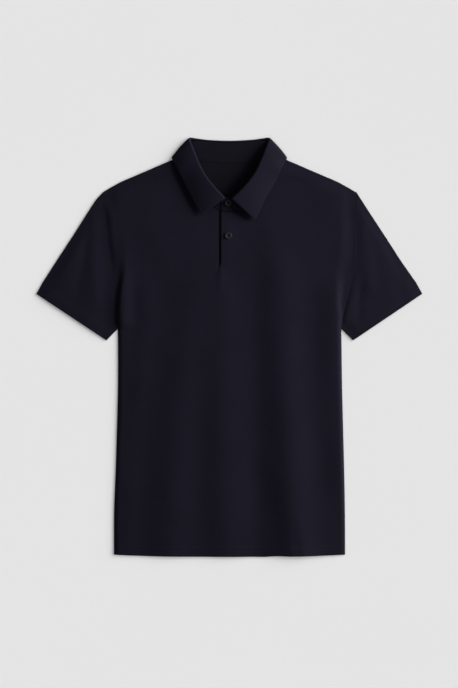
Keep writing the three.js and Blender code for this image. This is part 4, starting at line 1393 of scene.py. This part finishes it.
@dataclass
class Sleeve:
    """Short set-in sleeve: a flattened tube from the armhole to its turned hem."""

    side: Side
    top: tuple[LinePoint, ...]
    hem_top: LinePoint
    hem_underarm: LinePoint
    hem_depth: float = 25.0
    hem_step: float = 0.25
    step_run: float = 5.0
    underarm_share: float = 0.24
    edge_fade: float = 24.0
    seam_run: float = 13.0
    steep_run: float = 9.0
    seam_fade: float = 55.0
    steep_rows: tuple[float, float] = (60.0, 130.0)
    steep_shares: tuple[float, float] = (0.5, 0.9)
    wave_seed: int = 11
    across_steps: int = 84
    across_edge: float = 0.012
    along_steps: int = 70
    first_shares: tuple[float, ...] = (0.0, 0.0012, 0.0035, 0.007)
    even_from: float = 0.016
    turn_steps: int = 7
    edge_round: float = 1.5
    inner_inset: float = 0.3
    sewn: float = 0.7
    stitches: HemStitches = HemStitches((18.6, 22.8))
    stitch_margin: float = 0.015
    tape_columns: tuple[float, ...] = (-3.5, 0.0, 3.5)
    tape_rows: int = 60
    tape_end: float = 3.0
    tape_top: float = 0.27
    tape_thickness: float = 0.22
    flat: tuple[float, float] = (0.325, 0.225)

    @property
    def name(self) -> str:
        """Piece name."""
        return f"sleeve_{self.side.name.lower()}"

    def plan(self) -> tuple[Grid, Grid, Grid, Grid, Grid]:
        """Points over the sleeve's flat outline, rows from armhole to hem.

        Returns:
            X, Y, the share from top edge to underarm, depth into the hem, and distance from a row end.
        """
        s = edged_steps(self.across_steps, self.across_edge)
        sign = self.side.value
        seam_y = mix(SHOULDER_TIP_Y, ARMPIT_Y, s)
        seam_x = FORM.edge(seam_y, self.side) + sign * FORM.seam_gap
        underarm = np.array([seam_x[-1], ARMPIT_Y])
        hem_underarm = np.array(self.hem_underarm)
        band_underarm = mix(underarm, hem_underarm, self.underarm_share)
        top = np.array(self.top)
        bow = seam_x - mix(top[0][0], underarm[0], s)
        t = np.concatenate([self.first_shares, np.linspace(self.even_from, 1.0, self.along_steps)])
        place = t * (len(top) - 1)
        top_line = np.stack([np.interp(place, range(len(top)), top[:, k]) for k in (0, 1)], -1)
        low_line = mix(underarm, band_underarm, t[:, None])
        x = mix(top_line[:, :1], low_line[:, :1], s) + bow * (1 - t[:, None])
        y = mix(top_line[:, 1:], low_line[:, 1:], s)
        depth = np.array(SLEEVE_HEM_DEPTHS)
        into = (depth / self.hem_depth)[:, None]
        hem_top = mix(top[-1], np.array(self.hem_top), into)
        hem_low = mix(band_underarm, hem_underarm, into)
        x = np.concatenate([x, mix(hem_top[:, :1], hem_low[:, :1], s)])
        y = np.concatenate([y, mix(hem_top[:, 1:], hem_low[:, 1:], s)])
        band = np.concatenate([np.zeros(len(t)), depth])
        start = t * np.linalg.norm(top[-1] - top[0])
        from_end = np.concatenate([start + self.sewn, self.hem_depth - depth])
        ones = np.ones_like(s)
        return x, y, s * np.ones((len(band), 1)), band[:, None] * ones, from_end[:, None] * ones

    def lift(self, x: Grid, y: Grid, from_top: Grid, length: Grid) -> Grid:
        """Gap between the sleeve's two layers, past the seam gap.

        Args:
            x: X of the points.
            y: Y of the points.
            from_top: Distance from the top edge.
            length: Distance from top edge to underarm at each point.

        Returns:
            The gap at each point.
        """
        away = np.abs(x - FORM.edge(y, self.side))
        steep = 1 - smooth(*self.steep_rows, y)
        if self.side is Side.LEFT:
            near = 1 - smooth(0.0, self.seam_run, away)
            fade = smooth(self.seam_run, self.seam_fade, away)
        else:
            rise = 1 - np.clip(1 - away / mix(self.seam_run, self.steep_run, steep), 0.0, 1.0) ** 2
            fade = mix(smooth(0.0, self.seam_fade, away), rise, mix(*self.steep_shares, steep))
            near = 1 - rise
        ends = smooth(0, self.edge_fade, from_top) * smooth(0, self.edge_fade, length - from_top)
        waves = Undulation(seed=self.wave_seed + self.side.value)(x, y)
        total = ends * fade * (FORM.air + FORM.folds(SLEEVE_FOLDS, x, y) + waves)
        return np.clip(total + near * FORM.armhole_lift(y, self.side), FORM.least_lift, FORM.most_lift)

    def build(self) -> bpy.types.Object:
        """Makes and dresses the sleeve.

        Returns:
            The sleeve.
        """
        x, y, s, band, from_end = self.plan()
        radius = (2 * FORM.wall + FORM.seam_gap) / 2
        down = np.stack([x[:, -1] - x[:, 0], y[:, -1] - y[:, 0]], -1)
        length = np.linalg.norm(down, axis=1)[:, None]
        down = (down / length)[:, None, :]
        from_top = s * length
        inset = np.clip(from_top, radius, length - radius) - from_top
        reach = radius + self.inner_inset
        inset_in = np.clip(from_top, reach, length - reach) - from_top
        lift = self.lift(x, y, from_top, length)
        rounded = soft_edge(from_end, self.edge_round)
        wall = FORM.wall + self.hem_step * smooth(0, self.step_run, band) - self.stitches.dents(band)
        wall = wall * rounded
        under = FORM.wall + FORM.seam_gap + lift
        plan = np.stack([x, y], -1)
        out_xy = plan + down * inset[..., None]
        in_xy = plan + down * inset_in[..., None]
        bottom = FORM.wall * (1 - rounded)
        outer_top = np.concatenate([out_xy, (under + wall)[..., None]], -1)
        inner_top = np.concatenate([in_xy, under[..., None]], -1)
        outer_low = np.concatenate([out_xy, bottom[..., None]], -1)
        inner_low = np.concatenate([in_xy, np.full_like(under, FORM.wall)[..., None]], -1)
        turns = [self.turn(outer_top, outer_low, inner_top, inner_low, down, radius, -1, 1),
                 self.turn(outer_top, outer_low, inner_top, inner_low, down, radius, 0, -1)]
        outer = np.concatenate([outer_top, turns[0][0], outer_low[:, ::-1], turns[1][0]], axis=1)
        inner = np.concatenate([inner_top, turns[0][1], inner_low[:, ::-1], turns[1][1]], axis=1)
        piece = closed_shell(self.name, outer, inner, ringed=True)
        weave = Weave[self.name.upper()]
        dress(piece, ClothFinish(f"{self.name}_knit", weave), self.name)
        return piece

    def turn(
        self, outer_top: Grid, outer_low: Grid, inner_top: Grid, inner_low: Grid,
        down: Grid, radius: float, column: int, direction: int,
    ) -> tuple[Grid, Grid]:
        """Rounded fold at the top edge or the underarm.

        Args:
            outer_top: Outside of the upper layer.
            outer_low: Outside of the lower layer.
            inner_top: Inside of the upper layer.
            inner_low: Inside of the lower layer.
            down: Unit direction from top edge to underarm, for each row.
            radius: Radius of the fold in plan.
            column: Column that the fold joins.
            direction: 1 at the underarm, -1 at the top edge.

        Returns:
            Outer and inner points of the fold, in ring order.
        """
        outer, inner = [], []
        for k in range(1, self.turn_steps):
            angle = math.pi * k / self.turn_steps
            share = (1 + math.cos(angle) * direction) / 2
            reach = np.concatenate([down[:, 0], np.zeros((len(down), 1))], axis=1)
            reach = reach * radius * math.sin(angle) * direction
            outer.append(mix(outer_low[:, column], outer_top[:, column], share) + reach)
            inner.append(mix(inner_low[:, column], inner_top[:, column], share))
        return np.stack(outer, axis=1), np.stack(inner, axis=1)

    def tape(self) -> bpy.types.Object:
        """Seam allowance along the armhole, inside, between the shirt's two layers."""
        along = np.linspace(ARMPIT_Y, SHOULDER_TIP_Y - self.tape_end, self.tape_rows)
        y, across = np.meshgrid(along, self.tape_columns, indexing="ij")
        x = FORM.edge(y, self.side) + across
        outer = np.stack([x, y, np.full_like(x, FORM.wall + self.tape_top)], axis=-1)
        piece = closed_shell(f"{self.name}_seam_allowance", outer, outer - [0, 0, self.tape_thickness])
        piece.data.materials.append(ClothFinish("body_knit").material())
        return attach(piece, BODY)

    def sew(self) -> bpy.types.Object:
        """Twin rows of stitches round the hem's upper face."""
        x, y, s, band, _ = self.plan()
        rows = []
        for line in self.stitches.lines:
            row = int(np.argmin(np.abs(band[:, 0] - line)))
            keep = (s[row] > self.stitch_margin) & (s[row] < 1 - self.stitch_margin)
            px, py = x[row][keep], y[row][keep]
            length = math.hypot(x[row, -1] - x[row, 0], y[row, -1] - y[row, 0])
            from_top = s[row][keep] * length
            lift = self.lift(px, py, from_top, length)
            z = 2 * FORM.wall + FORM.seam_gap + lift + self.hem_step - self.stitches.depth
            rows.append((np.stack([px, py, z], axis=-1), None))
        return Sewing().sew(f"{self.name}_stitching", rows)


@dataclass
class Collar:
    """Turned-down collar: a stand sewn to the neckline and a leaf that rolls over it."""

    form: CollarForm = field(default_factory=CollarForm)
    roll_steps: int = 12
    fall_steps: int = 26
    stand_steps: int = 14
    end_steps: int = 6
    edge_shares: tuple[float, ...] = (0.975, 0.988, 0.996, 1.0)
    stand_round: float = 0.7
    faces_up: float = 0.1
    neck_from: float = 300.0
    leaf_flat: tuple[float, float] = (0.47, 0.105)
    stand_flat: tuple[float, float] = (0.43, 0.05)

    def __post_init__(self) -> None:
        """Works out the stations once."""
        self.stations = self.form.stations()

    def leaf(self) -> bpy.types.Object:
        """Makes and dresses the leaf.

        Returns:
            The leaf.
        """
        roll = np.linspace(0.0, math.pi, self.roll_steps + 1)
        fall = np.concatenate([np.linspace(0, 1, self.fall_steps + 1)[1:-1], self.edge_shares])
        grid = np.stack([self.form.leaf_section(s, roll, fall) for s in self.stations])
        outer, inner = cloth_wall(grid, FORM.wall)
        piece = closed_shell("collar_leaf_cloth", outer, inner)
        mark_weave(piece, grid)
        finish = ClothFinish("collar_knit", Weave.COLLAR, rib=0.8, cell=0.0022)
        dress(piece, finish, "collar_leaf")
        return piece

    def stand_grid(self) -> Grid:
        """Middle surface of the stand, with its ends past the leaf."""
        steps = np.linspace(0.0, 1.0, self.stand_steps + 1)
        body = [self.form.stand_section(s.seam, self.form.stand_top(s), steps) for s in self.stations]
        under = [self.form.stand_end(row, steps) for row in UNDER_END]
        over = [self.form.stand_end(row, steps) for row in OVER_END]
        sections = self.join(under + [body[0]]) + body + self.join([body[-1]] + over)[1:] + [over[-1]]
        return np.stack(sections)

    def join(self, sections: list[Grid]) -> list[Grid]:
        """Straight blends between sections, without the last one."""
        result = []
        for a, b in zip(sections, sections[1:]):
            result += [mix(a, b, k / self.end_steps) for k in range(self.end_steps)]
        return result

    def faces_neck(self, centres: Grid, normals: Grid) -> Grid:
        """Whether faces look up and are behind the front opening, where the stand's inside gets painted
        shade.
        """
        return (normals[:, 2] > self.faces_up) & (centres[:, 1] > self.neck_from)

    def stand(self) -> bpy.types.Object:
        """Makes and dresses the stand.

        Returns:
            The stand.
        """
        grid = self.stand_grid()
        outer, inner = cloth_wall(grid, FORM.band_wall, self.stand_round)
        piece = closed_shell("collar_stand_cloth", outer, inner)
        mark_weave(piece, grid)
        finish = ClothFinish("stand_knit", Weave.COLLAR, rib=0.3)
        dress(piece, finish, "collar_stand")
        # The stand's faces inside the neck get a darker colour: painted shade of the neck's hollow on the
        # knit's reverse.
        paint_inside_shade(piece, ClothFinish("stand_inside_painted_shade", colour=STAND_INSIDE_PAINTED_SHADE), self.faces_neck)
        return piece


@dataclass
class Placket:
    """Half placket: an under band in the front's slot, and an upper band sewn over it."""

    left: float = -18.7
    right: float = 14.0
    bottom: float = 135.6
    top: float = 243.2
    free_edge: float = -15.0
    rise: float = 0.7
    columns: int = 30
    rows: int = 90
    edge_round: float = 1.1
    seams: tuple = (((-10.2, 145.3), (11.6, 145.3)), ((12.0, 148.6), (12.0, 136.0)))
    lap: float = 1.4
    sewn_rise: float = 0.14
    sewn_run: float = 20.0
    sewn_rows: tuple[float, float] = (134.0, 142.0)
    closed_rows: tuple[float, float] = (138.0, 150.0)
    closed_columns: tuple[float, float] = (-1.0, 5.0)
    foot_rows: tuple[float, float] = (136.0, 153.0)
    overlap: float = 0.4
    clear: float = 0.04
    under_drop: float = 0.8
    stitch_points: int = 120
    stitches: Sewing = Sewing(length=1.9, radius=0.25)
    flat: tuple[float, float] = (0.0345, 0.110)

    def height(self, x: Grid, y: Grid) -> Grid:
        """Height of the upper band's outside, which thins where it is sewn down on the front."""
        beside = smooth(self.right - self.sewn_run, self.right + self.lap, x)
        sewn = np.maximum(beside, 1 - smooth(*self.sewn_rows, y))
        begins, ends = (self.left + column for column in self.closed_columns)
        closed = (1 - smooth(*self.closed_rows, y)) * (1 - smooth(begins, ends, x))
        return FORM.front_outside(x, y) + mix(self.rise, self.sewn_rise, np.maximum(sewn, closed))

    def upper(self) -> bpy.types.Object:
        """Makes and dresses the upper band.

        Returns:
            The band: free at the left, and lapped over the front at the right and at its foot.
        """
        foot, side = self.bottom - self.lap, self.right + self.lap
        u = edged_steps(self.columns, self.edge_round / (side - self.free_edge))
        v = edged_steps(self.rows, self.edge_round / (self.top - foot))
        v, u = np.meshgrid(v, u, indexing="ij")
        y = mix(foot, self.top, v)
        left = mix(self.left - self.lap, self.free_edge, smooth(*self.foot_rows, y))
        x = mix(left, side, u)
        top = self.height(x, y)
        beside = (x < self.left + self.overlap) | (x > self.right - self.overlap)
        over = beside | (y < self.bottom + self.overlap)
        front = FORM.front_outside(x, y)
        low = np.where(over, front + self.clear, top - FORM.band_wall)
        from_edge = np.minimum.reduce([x - left, side - x, y - foot, self.top - y])
        outer = np.stack([x, y, low + (top - low) * soft_edge(from_edge, self.edge_round)], axis=-1)
        piece = closed_shell("placket_upper_band", outer, np.stack([x, y, low], axis=-1))
        dress(piece, ClothFinish("placket_knit"), "placket_upper")
        return piece

    def under(self) -> bpy.types.Object:
        """Makes and dresses the under band, which fills the slot below the upper one.

        Returns:
            The band.
        """
        left, right = self.left + FORM.seam_gap, self.right - FORM.seam_gap
        bottom = self.bottom + FORM.seam_gap
        v, u = np.meshgrid(np.linspace(0, 1, self.rows), np.linspace(0, 1, self.columns), indexing="ij")
        x, y = mix(left, right, u), mix(bottom, self.top, v)
        z = FORM.front_outside(x, y) + self.rise - FORM.band_wall - FORM.seam_gap - self.under_drop
        outer = np.stack([x, y, z], axis=-1)
        piece = closed_shell("placket_under_band", outer, outer - [0, 0, FORM.band_wall])
        dress(piece, ClothFinish("placket_knit"), "placket_under")
        return piece

    def build(self) -> list[bpy.types.Object]:
        """Under band and upper band."""
        return [self.under(), self.upper()]

    def sew(self) -> bpy.types.Object:
        """Topstitching across the foot and up its right side."""
        rows = []
        for (x1, y1), (x2, y2) in self.seams:
            x, y = np.linspace(x1, x2, self.stitch_points), np.linspace(y1, y2, self.stitch_points)
            rows.append((np.stack([x, y, self.height(x, y)], axis=-1), None))
        return self.stitches.sew("placket_stitching", rows)


@dataclass
class Button:
    """Four-hole shirt button with a raised rim, sewn on with a cross of thread."""

    name: str
    node: str
    place: Grid
    slope: float = 0.0
    radius: float = 6.35
    hole_radius: float = 0.7
    hole_offset: float = 1.05
    hole_sides: int = 20
    hole_span: tuple[float, float] = (-1.0, 5.0)
    axis_gap: float = 0.02
    sides: int = 72
    sharp: float = 40.0
    thread_sides: int = 8
    thread_steps: int = 12
    thread_radius: float = 0.2
    thread_shift: float = 0.16
    bow: float = 0.378
    bow_step: float = 0.144
    plunge: float = 6.75
    plunge_from: float = 0.78

    def build(self) -> bpy.types.Object:
        """Makes the button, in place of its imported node.

        Returns:
            The button.
        """
        side = [(self.radius - point.inset, point.height) for point in BUTTON_PROFILE]
        profile = [(self.axis_gap, 0.0), *side, (self.axis_gap, BUTTON_PROFILE[-1].height)]
        angle = np.arange(self.sides) * 2 * math.pi / self.sides
        rings = np.array([[(a * math.cos(w), a * math.sin(w), z) for w in angle] for a, z in profile])
        points = rings.reshape(-1, 3)
        faces = grid_faces(len(profile), self.sides, True, 0, False)
        last = (len(profile) - 1) * self.sides
        faces += [list(range(self.sides))[::-1], [last + k for k in range(self.sides)]]
        piece = make_mesh(self.name, points, faces, self.sharp)
        cut(piece, [self.hole(sx, sy) for sx in (-1, 1) for sy in (-1, 1)])
        self.put(piece)
        dress(piece, ButtonFinish(), self.node)
        return piece

    def hole(self, sx: int, sy: int) -> bpy.types.Object:
        """Cutter of one sewing hole."""
        angle = np.arange(self.hole_sides) * 2 * math.pi / self.hole_sides
        x = sx * self.hole_offset + self.hole_radius * np.cos(angle)
        y = sy * self.hole_offset + self.hole_radius * np.sin(angle)
        return prism(f"{self.name}_hole", [LinePoint(a, b) for a, b in zip(x, y)], *self.hole_span)

    def put(self, piece: bpy.types.Object) -> None:
        """Turns a piece made about the origin to the cloth's slope and moves it into place."""
        points = np.array([v.co for v in piece.data.vertices])
        c, s = math.cos(self.slope), math.sin(self.slope)
        turned = points @ np.array([[1, 0, 0], [0, c, s], [0, -s, c]]) + self.place * MM
        piece.data.vertices.foreach_set("co", turned.ravel())
        piece.data.update()

    def sew(self) -> bpy.types.Object:
        """Thread through the holes, crossed, with each strand bowed over the dish."""
        points, faces = [], []
        sides, steps = self.thread_sides, self.thread_steps
        t = np.linspace(-1, 1, steps + 1)
        angle = np.arange(sides) * 2 * math.pi / sides
        dive = self.plunge * np.clip(np.abs(t) - self.plunge_from, 0, 1)
        for strand, (sx, sy) in enumerate(((1, 1), (1, -1), (1, 1), (1, -1))):
            shift = self.thread_shift if strand > 1 else -self.thread_shift
            beside = np.array([-sy, sx, 0.0]) / math.sqrt(2)
            reach = self.hole_offset * t[:, None] * [sx, sy, 0]
            height = BUTTON_PROFILE[-1].height + self.bow + self.bow_step * strand - dive
            path = reach + shift * beside + height[:, None] * [0, 0, 1]
            ahead = np.gradient(path, axis=0)
            ahead /= np.linalg.norm(ahead, axis=1, keepdims=True)
            up = np.cross(beside, ahead)
            ring = np.cos(angle)[None, :, None] * beside + np.sin(angle)[None, :, None] * up[:, None]
            start = len(points) * (steps + 1) * sides
            points.append((path[:, None] + self.thread_radius * ring).reshape(-1, 3))
            faces += grid_faces(steps + 1, sides, True, start, False)
        piece = make_mesh(f"{self.name}_thread", np.concatenate(points), faces, sharp=180)
        self.put(piece)
        piece.data.materials.append(ThreadFinish().material())
        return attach(piece, BODY)


@dataclass
class Studio:
    """Pale floor lit evenly, a soft lamp at the right for the shirt, and the camera overhead."""

    centre: tuple[float, float] = (-0.00054, 0.00585)
    frame_height: float = 1.2384
    camera_height: float = 4.0
    sensor: float = 24.0
    azimuth: float = 18.0
    floor_light: float = 2.8
    floor_fill: float = 0.88
    floor_elevation: float = 30.0
    floor_angle: float = 50.0
    lamp_power: float = 190.0
    lamp_distance: float = 3.2
    lamp_elevation: float = 20.0
    lamp_size: float = 1.4
    fill_strength: float = 0.25
    fill_angle: float = 80.0
    sky: float = 0.10
    floor_reach: float = 9000.0
    floor_drop: float = 0.2
    clip_end: float = 100.0

    def lamp(self, name: str, kind: str, elevation: float, distance: float = 0.0) -> bpy.types.Object:
        """Adds a lamp that faces the middle of the shirt.

        Args:
            name: Lamp name.
            kind: SUN or AREA.
            elevation: Degrees above the floor.
            distance: Metres from the middle of the shirt.

        Returns:
            The lamp's object.
        """
        holder = bpy.data.objects.new(name, bpy.data.lights.new(name, kind))
        tilt, turn = math.radians(90 - elevation), math.radians(self.azimuth)
        holder.rotation_euler = (0.0, tilt, turn)
        away = (math.sin(tilt) * math.cos(turn), math.sin(tilt) * math.sin(turn), math.cos(tilt))
        holder.location = [distance * part for part in away]
        bpy.context.scene.collection.objects.link(holder)
        return holder

    def sun(self, name: str, elevation: float, energy: float, angle: float) -> bpy.types.Object:
        """Adds a sun.

        Args:
            name: Lamp name.
            elevation: Degrees above the floor.
            energy: Strength.
            angle: Degrees that it covers in the sky.

        Returns:
            The sun's object.
        """
        holder = self.lamp(name, "SUN", elevation)
        holder.data.energy = energy
        holder.data.angle = math.radians(angle)
        return holder

    def light_only(self, lamp: bpy.types.Object, floor: bpy.types.Object, state: str) -> None:
        """Makes a lamp light the floor alone, or everything else.

        Args:
            lamp: The lamp.
            floor: The floor.
            state: INCLUDE or EXCLUDE.
        """
        group = bpy.data.collections.new(f"{lamp.name}_lights")
        group.objects.link(floor)
        group.collection_objects[0].light_linking.link_state = state
        lamp.light_linking.receiver_collection = group

    def build(self) -> None:
        """Adds floor, lamps, sky and camera."""
        signs = np.array([(-1, -1), (1, -1), (1, 1), (-1, 1)])
        corners = np.column_stack([signs * self.floor_reach, np.full(len(signs), -self.floor_drop)])
        floor = make_mesh("floor", corners, [[0, 1, 2, 3]])
        floor.data.materials.append(FloorFinish().material())
        even = self.sun("backdrop_light", self.floor_elevation, self.floor_light, self.floor_angle)
        over = self.sun("backdrop_fill", 90.0, self.floor_fill, self.fill_angle)
        for lamp in (even, over):
            self.light_only(lamp, floor, "INCLUDE")
        key = self.lamp("key", "AREA", self.lamp_elevation, self.lamp_distance)
        key.data.energy = self.lamp_power
        key.data.size = self.lamp_size
        self.light_only(key, floor, "EXCLUDE")
        self.sun("fill", 90.0, self.fill_strength, self.fill_angle)
        world = bpy.data.worlds.new("sky")
        world.use_nodes = True
        sky = world.node_tree.nodes["Background"].inputs
        sky["Strength"].default_value = self.sky
        sky["Color"].default_value = (1, 1, 1, 1)
        bpy.context.scene.world = world
        bpy.context.scene.view_settings.view_transform = "Standard"
        camera = bpy.data.cameras.new("camera")
        camera.sensor_fit = "VERTICAL"
        camera.sensor_height = self.sensor
        camera.lens = self.sensor * self.camera_height / self.frame_height
        camera.clip_end = self.clip_end
        holder = bpy.data.objects.new("camera", camera)
        holder.location = (*self.centre, self.camera_height)
        bpy.context.scene.collection.objects.link(holder)
        bpy.context.scene.camera = holder


SLEEVE_LEFT = Sleeve(
    Side.LEFT,
    (LinePoint(-226.8, 279.5), LinePoint(-240.5, 264.5), LinePoint(-256.0, 240.5),
     LinePoint(-281.3, 200.5), LinePoint(-309.5, 157.5), LinePoint(-335.7, 116.5)),
    LinePoint(-347.2, 95.9), LinePoint(-220.9, 12.2),
)
SLEEVE_RIGHT = Sleeve(
    Side.RIGHT,
    (LinePoint(228.3, 279.5), LinePoint(238.0, 264.5), LinePoint(253.5, 240.5),
     LinePoint(279.8, 200.5), LinePoint(307.4, 157.5), LinePoint(336.4, 116.0)),
    LinePoint(347.2, 96.2), LinePoint(222.7, 12.2),
)


def make_buttons(placket: Placket, collar: Collar) -> list[Button]:
    """Places both buttons: one on the placket, one on the sloping front of the stand.

    Args:
        placket: The placket.
        collar: The collar.

    Returns:
        The two buttons.
    """
    x, y = PLACKET_BUTTON
    z = float(placket.height(np.array([x]), np.array([y]))[0]) + FORM.seam_gap
    low = Button("placket_button", "button_placket", np.array([x, y, z]))
    section = collar.form.stand_end(OVER_END[0], np.array(SLOPE_SHARES))
    run = section[1] - section[0]
    slope = math.atan2(run[2], run[1])
    x, y = NECK_BUTTON
    z = section[0][2] + run[2] * (y - section[0][1]) / run[1]
    off = FORM.band_wall / 2 + 2 * FORM.seam_gap
    place = np.array([x, y - off * math.sin(slope), z + off * math.cos(slope)])
    return [low, Button("neck_button", "button_neck", place, slope)]


def main() -> None:
    """Builds the shirt's pieces in order and reports each."""
    logging.basicConfig(level=logging.INFO, format="%(name)s: %(message)s")
    Studio().build()
    collar = Collar()
    placket = Placket()
    front = FrontPanel()
    pieces = [BackPanel().build(collar), front.build(collar), front.sew()]
    for sleeve in (SLEEVE_LEFT, SLEEVE_RIGHT):
        pieces += [sleeve.build(), sleeve.tape(), sleeve.sew()]
    pieces += [collar.stand(), collar.leaf(), *placket.build(), placket.sew()]
    for button in make_buttons(placket, collar):
        pieces += [button.build(), button.sew()]
    for piece in pieces:
        LOG.info("%s: %d faces", piece.name, len(piece.data.polygons))


if __name__ == "__main__":
    main()
